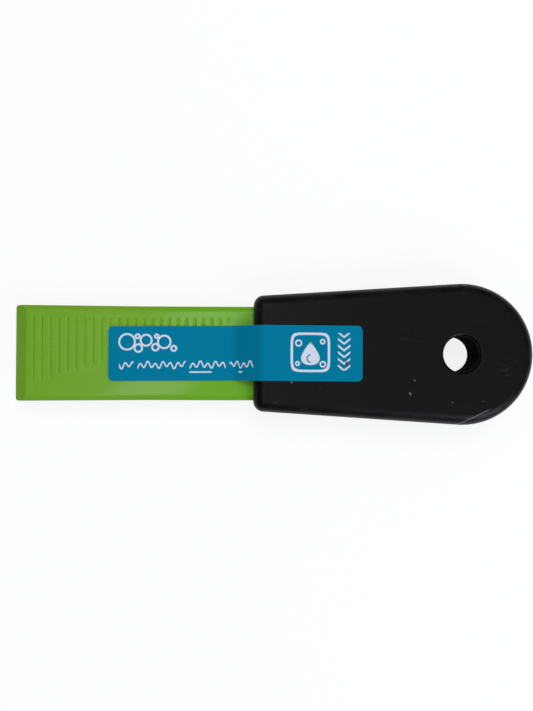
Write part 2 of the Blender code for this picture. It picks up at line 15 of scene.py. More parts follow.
import bmesh
import bpy
import numpy as np
from bpy.props import FloatProperty, FloatVectorProperty, IntProperty, PointerProperty
from bpy.types import Operator, Panel, PropertyGroup
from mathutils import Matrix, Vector


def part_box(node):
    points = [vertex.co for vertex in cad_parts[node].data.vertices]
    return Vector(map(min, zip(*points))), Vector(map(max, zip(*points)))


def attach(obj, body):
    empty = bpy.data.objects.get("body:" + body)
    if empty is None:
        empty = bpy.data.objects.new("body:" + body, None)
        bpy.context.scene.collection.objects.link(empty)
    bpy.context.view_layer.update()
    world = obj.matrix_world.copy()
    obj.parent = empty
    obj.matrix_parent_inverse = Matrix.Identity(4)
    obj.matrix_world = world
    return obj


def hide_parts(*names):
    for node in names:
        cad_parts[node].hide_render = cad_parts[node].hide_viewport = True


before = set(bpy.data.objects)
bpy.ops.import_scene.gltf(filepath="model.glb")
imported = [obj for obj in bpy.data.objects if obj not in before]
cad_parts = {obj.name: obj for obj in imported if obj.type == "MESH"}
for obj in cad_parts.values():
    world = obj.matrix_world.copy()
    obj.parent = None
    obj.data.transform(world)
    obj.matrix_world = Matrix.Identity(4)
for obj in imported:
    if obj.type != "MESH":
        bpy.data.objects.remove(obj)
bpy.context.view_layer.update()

bl_info = {
    "name": "Hand Scraper",
    "version": (1, 0, 0),
    "blender": (4, 5, 0),
    "location": "3D View > Sidebar > Scraper",
    "description": "Makes a scraper with a pull-out blade, its label and a studio floor",
    "category": "Add Mesh",
}

UPPER_LOW, UPPER_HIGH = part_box("upper_shell")
BLADE_LOW, BLADE_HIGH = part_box("scraper_blade")
LABEL_LOW, LABEL_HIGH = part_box("label")
SPRING_LOW, SPRING_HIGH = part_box("detent_spring_left")
STRIP_LOW, STRIP_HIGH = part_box("trimming_strip")
SCREW_LOW, SCREW_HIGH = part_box("shell_screw_front")

SIDES = {"left": 1, "right": -1}
QUARTER = math.pi / 2
MERGE = 1e-6  # points nearer to each other than this become one
SLIVER = 1e-7  # edges shorter than this are taken out
SHARP = math.radians(30)  # edges that turn by more than this stay sharp


def middle_of(node):
    """The middle of a CAD node's box in X and Y."""
    low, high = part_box(node)
    return (low.x + high.x) / 2, (low.y + high.y) / 2


SCREWS = {name: middle_of(f"shell_screw_{name}") for name in ("front", "left", "right", "rear")}
SPRING_X, SPRING_Y = middle_of("detent_spring_left")
FORK_X = SCREWS["front"][0]  # the round end of the tang's fork lies round the front screw


def linear(red, green, blue):
    """A colour given as 0 to 255 on a screen, as linear values, by both parts of sRGB's curve."""
    shares = np.array((red, green, blue)) / 255
    return tuple(np.where(shares <= 0.04045, shares / 12.92, ((shares + 0.055) / 1.055) ** 2.4))


def setting(maker, **limits):
    """A function that makes settings of one kind from a name, a description and a default."""

    def make(name, description, default):
        return maker(name=name, description=description, default=default, **limits)

    return make


length = setting(FloatProperty, min=0, precision=5, unit="LENGTH")
place = setting(FloatProperty, precision=5, unit="LENGTH")
spot = setting(FloatVectorProperty, size=3, precision=5, unit="LENGTH")
angle = setting(FloatProperty, unit="ROTATION")
turns = setting(FloatVectorProperty, size=3, precision=4, unit="ROTATION")
focus = setting(FloatProperty, unit="CAMERA")
colour = setting(FloatVectorProperty, size=3, min=0, max=1, subtype="COLOR")
share = setting(FloatProperty, min=0, max=1, subtype="FACTOR")
amount = setting(FloatProperty, min=0)
count = setting(IntProperty, min=2)


class ScraperBladeSettings(PropertyGroup):
    """Sizes and colours of the blade."""

    tip_x: place("Tip", "Where the blade's edge is along the tool", BLADE_LOW.x)
    end_x: place("Tang end", "Where the tang ends inside the handle", BLADE_HIGH.x)
    bottom_z: place("Underside", "Height of the blade's underside", BLADE_LOW.z)
    top_z: place("Top", "Height of the blade's flat top", BLADE_HIGH.z)
    half_width: length("Half width", "Half the width behind the flare", 0.01885)
    flare: length("Flare", "How much wider each side is at the tip", 0.0004)
    flare_length: length("Flare length", "How far behind the tip the flare ends", 0.052)
    tip_radius: length("Tip corner radius", "Round of the edge's corners, from above", 0.0011)
    bevel: length("Bevel length", "Length of the bevel behind the edge", 0.0051)
    land: length("Edge land", "Thickness of the edge under the bevel", 0.0004)
    chamfer_width: length("Chamfer width", "Width of the slope along each side", 0.0018)
    chamfer_depth: length("Chamfer depth", "Drop of the slope along each side", 0.0011)
    softness: length("Softness", "Round of the moulded edges", 0.00028)
    groove_count: count("Grooves", "Number of grooves across the top", 24)
    groove_pitch: length("Groove pitch", "From one groove to the next", 0.00339)
    first_groove: length("First groove", "From the tip to the first groove", 0.0080)
    groove_width: length("Groove width", "Width of a groove with its soft edges", 0.0015)
    groove_depth: length("Groove depth", "Depth of a groove", 0.00025)
    groove_margin: length("Groove margin", "From the left side to the grooves' ends", 0.0044)
    far_margin: length("Far margin", "From the right side to the first groove's end", 0.0064)
    last_groove: length("Last groove", "Length of the last groove", 0.0027)
    near_fade: length("Near fade", "Run over which a groove fades at the left side", 0.0008)
    far_fade: length("Far fade", "Run over which a groove fades at its other end", 0.0020)
    fork_radius: length("Fork radius", "Half the width of the fork's slot", 0.0036)
    lead_in: length("Lead-in", "Cut corner at the tang's end", 0.0020)
    notch_half: length("Notch half length", "Half the length of a spring's notch", 0.0034)
    notch_depth: length("Notch depth", "Depth of a spring's notch", 0.0008)
    notch_side: length("Notch half width", "Half the width of a spring's notch", 0.0041)
    tip_colour: colour("By the edge", "Colour of the plastic at the tip", linear(104, 156, 29))
    middle_colour: colour("Middle", "Colour of the plastic half way", linear(108, 158, 37))
    mouth_colour: colour("By the handle", "Colour of the plastic at the mouth", linear(99, 162, 28))
    worn_colour: colour("Scuffs", "Colour of scuffed plastic", linear(150, 190, 96))
    # The darker clouds' colour, which is also painted into the grooves as shade
    dark_cloud_and_groove_shade_colour: colour("Shade", "Colour of the darker clouds", linear(84, 138, 22))


class ScraperHandleSettings(PropertyGroup):
    """Sizes and colours of the two shells."""

    mouth_x: place("Mouth", "Where the handle begins", UPPER_LOW.x)
    end_x: place("Round end", "Centre of the round rear end", UPPER_HIGH.x - UPPER_HIGH.y)
    hole_before_end: length("Hole offset", "How far the hole is before that centre", 0.0011)
    height: length("Height", "From the underside to the top", UPPER_HIGH.z)
    end_radius: length("End radius", "Radius of the round rear end", UPPER_HIGH.y)
    mouth_width: length("Mouth width", "Width across the front corners", 0.0461)
    corner_radius: length("Corner radius", "Round of the front corners, from above", 0.0040)
    sharpest_corner: length("Sharpest corner", "Least round of an inner corner", 0.0003)
    edge_radius: length("Edge radius", "Round between the face and the sides", 0.0045)
    draft: length("Draft", "How far a side leans in", 0.0002)
    wall: length("Wall", "Thickness of a shell", 0.0026)
    seam_gap: length("Seam gap", "Gap between the shells", 0.0003)
    lip: length("Lip round", "Round of the edges at the seam", 0.00012)
    tongue_inset: length("Tongue inset", "From the side to the lower shell's tongue", 0.0015)
    tongue_width: length("Tongue width", "Thickness of the tongue", 0.0009)
    tongue_height: length("Tongue height", "Height of the tongue above the seam", 0.0012)
    clearance: length("Clearance", "Room between pieces that fit", 0.0003)
    hole_radius: length("Hole radius", "Radius of the hanging hole", 0.0072)
    rim_radius: length("Rim radius", "Round of the hole's rim", 0.0012)
    hole_wall: length("Hole wall", "Thickness of the wall round the hole", 0.0020)
    channel_half: length("Channel half width", "Half the width of the blade's channel", 0.01915)
    channel_rise: length("Channel rise", "From the seam to the channel's top", 0.0023)
    channel_shoulder: length("Channel shoulder", "From the seam to the slopes' foot", 0.0012)
    channel_slope: length("Channel slope", "Width of the slope at each side", 0.0018)
    rib: length("Rib", "Thickness of a rib", 0.0014)
    bite: length("Rib bite", "How far a rib runs into a wall", 0.0008)
    bed_length: length("Bed length", "Length of the bed under the blade", 0.0110)
    boss_radius: length("Boss radius", "Radius of a screw boss", 0.0033)
    pilot_radius: length("Pilot radius", "Radius of a screw's hole", 0.0014)
    head_room: length("Counterbore", "Radius of the hole round a screw head", 0.0029)
    head_seat: length("Head seat", "Height that a screw's head seats at", 0.0029)
    pilot_top: length("Pilot end", "Height where the blind hole ends", 0.0136)
    plastic_colour: colour("Plastic", "Colour of the matte plastic", linear(11, 9, 11))
    pale_colour: colour("Pale clouds", "Colour of its paler clouds", linear(14, 12, 13))
    # Painted shade: the hanging hole's wall is darkened towards this colour
    bore_shade_colour: colour("Hole", "Colour down the hanging hole", linear(3, 2, 3))
    scuff_colour: colour("Scuffs", "Colour of worn and scratched plastic", linear(112, 108, 106))


class ScraperLabelSettings(PropertyGroup):
    """Sizes and colours of the label."""

    front_x: place("Front", "Where the label begins on the blade", LABEL_LOW.x)
    rear_x: place("Rear", "Where the label ends on the handle", LABEL_HIGH.x)
    blade_z: place("On the blade", "Height of its underside there", LABEL_LOW.z)
    width: length("Width", "Width of the label", LABEL_HIGH.y - LABEL_LOW.y)
    thickness: length("Thickness", "Thickness of the film", 0.00025)
    corner_radius: length("Corner radius", "Round of its corners", 0.0020)
    bend_radius: length("Bend radius", "Bend where it leaves the blade", 0.0070)
    slope: angle("Slope", "Slope between the blade and the handle", math.radians(31))
    front_lean: length("Front lean", "How far the front end lies off to the right", 0.00028)
    mouth_lean: length("Mouth lean", "How far it lies off to the left at the mouth", 0.0002)
    film_colour: colour("Film", "Colour of the printed film", linear(0, 114, 147))
    faded_colour: colour("Faded film", "Colour where the film is faded", linear(2, 124, 158))
    print_colour: colour("Print", "Colour of what is left white", linear(206, 212, 226))
    edge_colour: colour("Cut edge", "Colour of the film's cut edge", linear(228, 232, 234))
    stain_colour: colour("Stain", "Colour of a small stain", linear(72, 46, 36))


class ScraperMetalSettings(PropertyGroup):
    """Sizes and colours of the screws, the springs and the strip."""

    head_radius: length("Head radius", "Radius of a screw's head", 0.0026)
    head_height: length("Head height", "Height of a screw's head", 0.0018)
    head_round: length("Head round", "Round of a head's edge", 0.0005)
    shank_radius: length("Shank radius", "Outer radius of the thread", 0.0012)
    thread_depth: length("Thread depth", "Depth of the thread", 0.00022)
    thread_pitch: length("Thread pitch", "From one turn to the next", 0.0009)
    point: length("Point", "Length of the shank's tapered point", 0.0010)
    cross_length: length("Cross length", "Length of the cross recess", 0.0030)
    cross_width: length("Cross width", "Width of each slot of the cross", 0.0007)
    cross_depth: length("Cross depth", "Depth of the cross", 0.0010)
    cross_softness: length("Cross softness", "Width of the cross's sloping walls", 0.00012)
    spring_thickness: length("Spring thickness", "Thickness of a leaf spring", 0.0004)
    spring_foot: length("Spring foot", "Length of each flat foot", 0.0018)
    strip_thickness: length("Strip thickness", "Thickness of the steel strip", 0.0008)
    strip_height: length("Strip height", "Length of its slope", 0.0042)
    strip_tilt: angle("Strip tilt", "How steeply it leans to the rear", math.radians(50))
    strip_grind: angle("Strip grind", "Angle of its ground edge", math.radians(35))
    strip_round: length("Strip round", "Round of the strip's edges", 0.00005)
    slot_gap: length("Slot gap", "Room between the strip and its slot", 0.0002)
    zinc_colour: colour("Zinc", "Colour of the plated screws", (0.60, 0.60, 0.62))
    dull_zinc_colour: colour("Dull zinc", "Colour of dulled plating", (0.46, 0.47, 0.45))
    steel_colour: colour("Steel", "Colour of the springs and the strip", (0.56, 0.56, 0.55))
    stained_colour: colour("Stained steel", "Colour of its darker spots", (0.30, 0.27, 0.24))


class ScraperStageSettings(PropertyGroup):
    """The floor, the lamps and the camera."""

    camera_place: spot("Camera", "Where the camera is", (-0.0065256, -0.0039524, 0.2636368))
    camera_turn: turns(
        "Camera turn", "Its tilt forwards, tilt sideways and roll", (0.0126, -0.0157, 0.0037)
    )
    lens: focus("Lens", "Focal length", 31.975)
    floor_size: length("Floor size", "Width of the floor", 6.0)
    floor_drop: length("Floor drop", "Room between the floor and the tool", 0.0001)
    shade: share("Shade", "How much of a shadow the floor keeps", 0.16)
    sky: amount("Sky", "Strength of the even light from all round", 0.48)
    main_power: amount("Main lamp", "Power of the large lamp on the left", 4.6)
    fill_power: amount("Fill lamp", "Power of the cool lamp low on the right", 4.0)
    panel_power: amount("Panel", "Power of the long panel overhead", 0.62)


def sheet(points, round_rows=False, round_columns=True, keep=None):
    """A grid of points with the faces between neighbours. keep is a mask of the faces that stay."""
    rows, columns = points.shape[:2]
    row = np.arange(rows if round_rows else rows - 1)[:, None]
    column = np.arange(columns if round_columns else columns - 1)[None, :]
    below, beside = (row + 1) % rows, (column + 1) % columns
    corners = [row * columns + column, below * columns + column]
    corners += [below * columns + beside, row * columns + beside]
    faces = np.stack(np.broadcast_arrays(*corners), axis=-1)
    faces = faces.reshape(-1, 4) if keep is None else faces[keep]
    return points.reshape(-1, 3), faces


def with_poles(rings):
    """Closes both ends of a tube with a ring whose points all lie in the middle of the end."""
    poles = [np.broadcast_to(ring.mean(axis=0), ring.shape) for ring in (rings[0], rings[-1])]
    return np.concatenate([poles[0][None], rings, poles[1][None]])


def with_pole_rows(grid):
    """Repeats the first and last row of values that go with the rings of a closed tube."""
    return np.concatenate([grid[:1], grid, grid[-1:]])


def turned(x, y, radii, heights, steps):
    """A surface turned about an upright line at x, y: each radius, at its height, is a circle."""
    turn = np.linspace(0, 2 * math.pi, steps, endpoint=False)
    radii, heights = np.asarray(radii)[:, None], np.asarray(heights)[:, None]
    points = np.broadcast_arrays(x + radii * np.cos(turn), y + radii * np.sin(turn), heights)
    return np.stack(points, axis=-1)


def arc(centre, radius, start, end, steps):
    """Points of an arc in a plane, both ends included."""
    turn = np.linspace(start, end, steps + 1)
    return np.stack([centre[0] + radius * np.cos(turn), centre[1] + radius * np.sin(turn)], -1)


def smooth_step(value):
    """Rises from 0 to 1 with level ends: 3 v^2 - 2 v^3, for v held between 0 and 1."""
    value = np.clip(value, 0, 1)
    return value * value * (3 - 2 * value)


def soft_least(first, second, blend):
    """The lesser of two values, with a round of the blend's size where they cross."""
    overlap = np.maximum(blend - np.abs(first - second), 0)
    return np.minimum(first, second) - overlap**2 / (4 * blend)


@contextmanager
def editing(mesh):
    """Opens a mesh as a BMesh and writes it back."""
    bm = bmesh.new()
    bm.from_mesh(mesh)
    yield bm
    bm.to_mesh(mesh)
    bm.free()


def solid(name, sheets, marks=None, uv=None):
    """An object of closed sheets. Doubles are merged and the faces turned outwards.

    marks are numbers for each point, and uv a pair for each point, which materials read.
    """
    points = np.concatenate([sheet_points for sheet_points, _ in sheets])
    starts = np.cumsum([0] + [len(sheet_points) for sheet_points, _ in sheets])
    faces = np.concatenate([faces + start for (_, faces), start in zip(sheets, starts)])
    mesh = bpy.data.meshes.new(name)
    mesh.from_pydata(points, [], faces)
    for mark, values in (marks or {}).items():
        attribute = mesh.attributes.new(mark, "FLOAT", "POINT")
        attribute.data.foreach_set("value", np.asarray(values, np.float32).ravel())
    if uv is not None:
        corners = np.empty(len(mesh.loops), np.int32)
        mesh.loops.foreach_get("vertex_index", corners)
        layer = mesh.uv_layers.new(name="UVMap")
        layer.uv.foreach_set("vector", uv[corners].astype(np.float32).ravel())
    with editing(mesh) as bm:
        bmesh.ops.remove_doubles(bm, verts=bm.verts, dist=MERGE)
        bmesh.ops.dissolve_degenerate(bm, edges=bm.edges, dist=SLIVER)
        bmesh.ops.recalc_face_normals(bm, faces=bm.faces)
    obj = bpy.data.objects.new(name, mesh)
    bpy.context.scene.collection.objects.link(obj)
    return obj


def cut(obj, cutter):
    """Cuts the cutter out of an object and removes it."""
    modifier = obj.modifiers.new("Cut", "BOOLEAN")
    modifier.object = cutter
    graph = bpy.context.evaluated_depsgraph_get()
    whole, mesh = obj.data, bpy.data.meshes.new_from_object(obj.evaluated_get(graph))
    obj.modifiers.clear()
    obj.data = mesh
    bpy.data.meshes.remove(whole)
    bpy.data.objects.remove(cutter)


def absorb(obj, other):
    """Adds the faces of another object to an object and removes the other."""
    with editing(obj.data) as bm:
        bm.from_mesh(other.data)
    bpy.data.objects.remove(other)


def finish_piece(obj, node, body, material):
    """Shades a piece smooth, and has it stand for a CAD node on that node's body."""
    with editing(obj.data) as bm:
        bmesh.ops.dissolve_degenerate(bm, edges=bm.edges, dist=SLIVER)
    obj.data.name = obj.name
    obj.data.shade_smooth()
    obj.data.set_sharp_from_angle(angle=SHARP)
    obj.data.materials.clear()
    obj.data.materials.append(material)
    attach(obj, body)
    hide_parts(node)


def by_math(operation, reflected=False):
    """A method of Number that adds a Math node. A reflected one takes its values the other way."""

    def method(self, *others):
        values = (*others, self) if reflected else (self, *others)
        return self.nodes.math(operation, *values)

    return method


class Number:
    """A value that changes over a surface. Sums and products of it add Math nodes to its tree."""

    def __init__(self, nodes, socket):
        self.nodes = nodes
        self.socket = socket

    __add__, __radd__ = by_math("ADD"), by_math("ADD", True)
    __sub__, __rsub__ = by_math("SUBTRACT"), by_math("SUBTRACT", True)
    __mul__, __rmul__ = by_math("MULTIPLY"), by_math("MULTIPLY", True)
    __truediv__, __rtruediv__ = by_math("DIVIDE"), by_math("DIVIDE", True)
    __pow__, __rpow__ = by_math("POWER"), by_math("POWER", True)
    __abs__, root, wave = by_math("ABSOLUTE"), by_math("SQRT"), by_math("SINE")
    least, most, remainder = by_math("MINIMUM"), by_math("MAXIMUM"), by_math("FRACT")

    def between(self, low, high):
        """Rises smoothly from 0 at the low value to 1 at the high one, or falls if low is above."""
        settings = {"interpolation_type": "SMOOTHSTEP"}
        sockets = {"Value": self, "From Min": low, "From Max": high}
        if low > high:
            sockets.update({"From Min": high, "From Max": low, "To Min": 1.0, "To Max": 0.0})
        node = self.nodes.node("ShaderNodeMapRange", settings, sockets)
        return Number(self.nodes, node.outputs[0])


def highest(masks):
    """The highest of several masks."""
    return reduce(Number.most, masks)


class Nodes:
    """A node tree in the making, of a material or of the sky."""

    def __init__(self, tree):
        self.tree = tree

    def node(self, kind, settings=None, sockets=None):
        """Adds a node, sets its settings, then fills or links its sockets."""
        node = self.tree.nodes.new(kind)
        for name, value in (settings or {}).items():
            setattr(node, name, value)
        for name, value in (sockets or {}).items():
            self.fill(node.inputs[name], value)
        return node

    def fill(self, socket, value):
        """Links an output to a socket, or sets the socket. A colour gets its fourth number."""
        if isinstance(value, Number):
            value = value.socket
        if isinstance(value, bpy.types.NodeSocket):
            self.tree.links.new(value, socket)
        elif socket.type == "RGBA":
            socket.default_value = (*value[:3], 1.0)
        else:
            socket.default_value = value

    def math(self, operation, *values):
        """The outcome of a Math node."""
        node = self.node("ShaderNodeMath", {"operation": operation}, dict(enumerate(values)))
        return Number(self, node.outputs[0])

    def split(self, vector):
        """The three parts of a vector."""
        node = self.node("ShaderNodeSeparateXYZ", sockets={"Vector": vector})
        return [Number(self, output) for output in node.outputs]

    def rays(self):
        """1 for what is seen straight or through glass, and 1 for what is seen in gloss."""
        paths = self.node("ShaderNodeLightPath").outputs
        straight, through, gloss = (
            Number(self, paths[f"Is {kind} Ray"]) for kind in ("Camera", "Transmission", "Glossy")
        )
        return straight.most(through), gloss


class Look(Nodes):
    """A material in the making, round its own Principled shader."""

    def __init__(self, name, **constants):
        self.material = bpy.data.materials.new(name)
        self.material.use_nodes = True
        super().__init__(self.material.node_tree)
        self.shader = self.tree.nodes["Principled BSDF"]
        self.set(**constants)
        coordinates = self.node("ShaderNodeTexCoord")
        self.position = coordinates.outputs["Object"]
        self.uv = coordinates.outputs["UV"]

    def mark(self, name):
        """A number that the mesh holds for each point."""
        node = self.node("ShaderNodeAttribute", {"attribute_name": name})
        return Number(self, node.outputs["Fac"])

    def moved(self, stretch=(1, 1, 1), turn=0.0, shift=0.0):
        """The place on the piece, stretched along each axis, turned about Z and shifted."""
        sockets = {"Vector": self.position, "Scale": stretch}
        sockets.update({"Rotation": (0, 0, turn), "Location": (shift, shift, shift)})
        return self.node("ShaderNodeMapping", sockets=sockets).outputs[0]

    def noise(self, scale, detail, roughness, **moves):
        """Noise of so many cells to a metre, with so many finer layers and their share."""
        sockets = {"Vector": self.moved(**moves), "Scale": scale, "Detail": detail}
        node = self.node("ShaderNodeTexNoise", sockets={**sockets, "Roughness": roughness})
        return Number(self, node.outputs["Fac"])

    def contour(self, scale, width, **moves):
        """Thin winding lines: 1 where a noise is half way, and 0 from the width away from that."""
        return abs(self.noise(scale, 2, 0.6, **moves) - 0.5).between(width, 0.0)

    def specks(self, scale):
        """The distance to the nearest of scattered points, so many to a metre, in cells."""
        sockets = {"Vector": self.moved(), "Scale": scale}
        return Number(self, self.node("ShaderNodeTexVoronoi", sockets=sockets).outputs["Distance"])

    def mix(self, way, first, second):
        """A colour a share of the way from one colour to another."""
        node = self.node("ShaderNodeMix", {"data_type": "RGBA"}, {0: way, 6: first, 7: second})
        return node.outputs[2]

    def bump(self, height, distance, strength, under=None):
        """A Bump node that raises the surface by the height, over one below it."""
        sockets = {"Height": height, "Distance": distance, "Strength": strength}
        if under is not None:
            sockets["Normal"] = under
        return self.node("ShaderNodeBump", sockets=sockets).outputs["Normal"]

    def set(self, **sockets):
        """Links or sets sockets of the shader. An underscore stands for a space."""
        for name, value in sockets.items():
            self.fill(self.shader.inputs[name.replace("_", " ")], value)
        return self.material


JUST_OUTSIDE = 1.01  # a station at each end of the notch, as a share of half its length
TOP_ROUND, LOW_ROUND = 0.40, 0.45  # the most of the side's height that each small round takes


def blade_stations(blade):
    """Places along the blade where its section is worked out, close together where it changes."""
    tip, end, radius = blade.tip_x, blade.end_x, blade.fork_radius
    corner = tip + blade.tip_radius * (1 - np.cos(np.linspace(0, QUARTER, 8)))
    bevel = tip + np.linspace(blade.tip_radius, blade.first_groove, 28)
    grooves = tip + blade.first_groove + blade.groove_pitch * np.arange(blade.groove_count)
    across = np.linspace(-0.5, 0.5, 11) * blade.groove_width
    between = np.array([0.3, 0.5, 0.7]) * blade.groove_pitch
    grooved = (grooves[:, None] + np.concatenate([across, between])).ravel()
    behind = np.linspace(grooved.max(), FORK_X - radius, 12)[1:]
    round_end = FORK_X - radius * np.cos(np.linspace(0, QUARTER, 14))
    around_notch = np.concatenate([[-JUST_OUTSIDE], np.linspace(-1, 1, 13), [JUST_OUTSIDE]])
    notch = SPRING_X + around_notch * blade.notch_half
    legs = [FORK_X + radius, end - blade.lead_in, end - blade.lead_in / 2, end]
    stations = np.concatenate([corner, bevel, grooved, behind, round_end, notch, legs])
    stations = np.unique(np.round(stations, 7))
    return stations[np.append(True, np.diff(stations) > 2 * MERGE)]


def blade_outer(blade, x):
    """Half the blade's width: it tapers behind the tip, with round tip and cut tang corners."""
    along = x - blade.tip_x
    half = blade.half_width + blade.flare * np.clip(1 - along / blade.flare_length, 0, None)
    short = np.clip(blade.tip_radius - along, 0, None)
    half = half - blade.tip_radius + np.sqrt(np.clip(blade.tip_radius**2 - short**2, 0, None))
    return half - np.clip(x - (blade.end_x - blade.lead_in), 0, None)


def blade_inner(blade, x):
    """Half the width of the tang's fork: a round end that runs on as a straight slot."""
    before = np.clip(FORK_X - x, 0, blade.fork_radius)
    return np.sqrt(blade.fork_radius**2 - before**2)


def groove_share(blade, x, y):
    """How deep the top is grooved, from 0 to 1.

    A smooth step of the distance from the groove's middle over half its width, times one at each
    end over that end's fade. The far ends lie on one slanting line.
    """
    index = np.round((x - blade.tip_x - blade.first_groove) / blade.groove_pitch)
    index = np.clip(index, 0, blade.groove_count - 1)
    middle = blade.tip_x + blade.first_groove + blade.groove_pitch * index
    across = smooth_step(1 - np.abs(x - middle) / (blade.groove_width / 2))
    near = blade.half_width - blade.groove_margin
    first_far = blade.far_margin - blade.half_width
    last_far = near - blade.last_groove
    far = first_far + (last_far - first_far) * index / (blade.groove_count - 1)
    far_end = smooth_step((y - far) / blade.far_fade)
    return across * far_end * smooth_step((near - y) / blade.near_fade)


def blade_top(blade, x, y, to_side):
    """Height of the blade's top: the lowest of the flat top, the front bevel and the side chamfer.

    They meet in soft edges. The grooves and a small round along the side are taken off.
    """
    depth = blade.top_z - blade.bottom_z - blade.land
    bevel = blade.bottom_z + blade.land + (x - blade.tip_x) * depth / blade.bevel
    shoulder = blade.top_z - blade.chamfer_depth
    chamfer = shoulder + to_side * blade.chamfer_depth / blade.chamfer_width
    height = soft_least(blade.top_z, chamfer, blade.softness)
    height = soft_least(height, bevel, blade.softness)
    grooves = groove_share(blade, x, y)
    radius = np.minimum(blade.softness, (height - blade.bottom_z) * TOP_ROUND)
    near = np.clip(radius - to_side, 0, None)
    drop = radius - np.sqrt(np.clip(radius**2 - near**2, 0, None))
    return height - blade.groove_depth * grooves - drop, grooves


def notch_hollow(blade, x):
    """Depth of the notch over a spring: an arc as long as the notch and as deep as its depth."""
    radius = (blade.notch_half**2 + blade.notch_depth**2) / (2 * blade.notch_depth)
    reach = np.sqrt(np.clip(radius**2 - (x - SPRING_X) ** 2, 0, None))
    return np.clip(reach - radius + blade.notch_depth, 0, None)


def half_blade(blade, sign):
    """One side of the blade: stations along it by points round its half section.

    The section runs over the top from the middle to the side, down the side, round a small edge,
    and back under the blade, which a shallow round notch hollows over the spring. Before the fork
    it has no inner wall, because the other half goes on there.
    """
    x = blade_stations(blade)[:, None]
    outer, inner = blade_outer(blade, x), blade_inner(blade, x)
    margin = blade.chamfer_width + 2 * blade.softness
    flat = inner + (outer - margin - inner) * np.linspace(0, 1, 54)[None, :]
    rounding = blade.softness * (1 - np.cos(np.linspace(0, QUARTER, 5)))
    slope = np.linspace(blade.softness, margin, 10)[1:-1]
    to_side = np.concatenate([slope[::-1], rounding[::-1]])[None, :]
    top_y = np.concatenate([flat, outer - to_side], axis=1)
    top_z, grooves = blade_top(blade, x, sign * top_y, np.maximum(outer - top_y, 0))
    radius = np.minimum(blade.softness, (top_z[:, -1:] - blade.bottom_z) * LOW_ROUND)
    turn = np.linspace(0, QUARTER, 5)[None, :]
    edge_y = outer - radius * (1 - np.cos(turn))
    edge_z = blade.bottom_z + radius * (1 - np.sin(turn))
    across_notch = np.array([1.0, 0.99, 0.5, 0.0, -0.5, -0.99, -1.0])
    notch_y = np.tile(SPRING_Y + across_notch * blade.notch_side, (len(x), 1))
    under_y = np.concatenate([notch_y, inner], axis=1)
    in_notch = np.append(np.abs(across_notch) < 1, False)
    under_z = blade.bottom_z + notch_hollow(blade, x) * in_notch
    y = sign * np.concatenate([top_y, edge_y, under_y], axis=1)
    z = np.concatenate([top_z, edge_z, under_z], axis=1)
    points = np.stack(np.broadcast_arrays(x, y, z), axis=-1)
    marks = np.zeros(points.shape[:2])
    marks[:, : grooves.shape[1]] = grooves
    keep = np.ones((len(x) + 1, points.shape[1]), bool)
    keep[1:-1, -1] = x[1:, 0] > FORK_X - blade.fork_radius
    return sheet(with_poles(points), keep=keep), with_pole_rows(marks).ravel()


class SCRAPER_OT_blade(Operator):
    """Make the green blade with its bevel, grooves, fork and notches"""

    bl_idname = "scraper.blade"
    bl_label = "Make Blade"

    def execute(self, context):
        blade = context.scene.scraper_blade
        halves = [half_blade(blade, sign) for sign in SIDES.values()]
        marks = {"groove": np.concatenate([grooves for _, grooves in halves])}
        obj = solid("green_blade", [half for half, _ in halves], marks)
        finish_piece(obj, "scraper_blade", "blade", green_plastic(blade))
        return {"FINISHED"}


def green_plastic(blade):
    """Semi-gloss moulded plastic: clouded, faintly drawn along its length, with fine scuffs.

    Its colour changes twice along the blade, and the worn bevel has no glossy coat. The grooves
    are darkened with painted shade.
    """
    look = Look("green moulded plastic", IOR=1.5, Specular_IOR_Level=0.1, Coat_Roughness=0.1)
    x, _, _ = look.split(look.position)
    cloud = look.noise(55, 3, 0.6)
    drawn = look.noise(240, 4, 0.65, stretch=(0.08, 1, 1))
    lines = look.noise(1500, 3, 0.7, stretch=(0.03, 1, 1))
    patches = look.noise(70, 2, 0.5, shift=0.3)
    scuffs = look.contour(420, 0.012, stretch=(0.12, 1, 1), turn=0.35) * patches.between(0.52, 0.66)
    pits = look.specks(330).between(0.05, 0.02) * patches.between(0.5, 0.6)
    colour_run, edge_softness = 0.04, 0.0002
    half_way = blade.tip_x + colour_run
    face = look.mix(x.between(blade.tip_x, half_way), blade.tip_colour, blade.middle_colour)
    face = look.mix(x.between(half_way, half_way + colour_run), face, blade.mouth_colour)
    shade = (cloud - 0.5) * 0.12 + (drawn - 0.5) * 0.12
    face = look.mix(shade.most(0.0), face, blade.worn_colour)
    # Painted shade: the grooves are darkened towards the dark cloud colour by their depth mark
    face = look.mix((0.0 - shade).most(0.0) + look.mark("groove") * 0.22, face, blade.dark_cloud_and_groove_shade_colour)
    face = look.mix(scuffs * 0.22 + pits * 0.4, face, blade.worn_colour)
    normal = look.bump(look.noise(9000, 2, 0.5), 0.000008, 0.5)
    normal = look.bump(lines, 0.000015, 0.35, normal)
    roughness = 0.36 + cloud * 0.12 + lines * 0.08 + scuffs * 0.2
    bevel_end = blade.tip_x + blade.bevel
    on_bevel = x.between(bevel_end + edge_softness, bevel_end - edge_softness)
    coat = (0.50 - cloud * 0.12 - scuffs * 0.2) * (1.0 - on_bevel)
    return look.set(Base_Color=face, Roughness=roughness, Normal=normal, Coat_Weight=coat)


MOUTH_STEP = 2e-5  # run over which the shells' edges step away from the blade
MOUTH_ROOM = 0.00015  # least room between the step and a front corner
ACROSS_MOUTH = (0.012, 0.006, 0.0)  # places across the middle of the mouth
# The hole's wall is painted darker, as shade, over this run below the rim
BORE_SHADE_FADE = 0.0012  # run below the rim over which the hole's wall gets darker


def hole_x(handle):
    """Where the hanging hole's centre is along the tool."""
    return handle.end_x - handle.hole_before_end


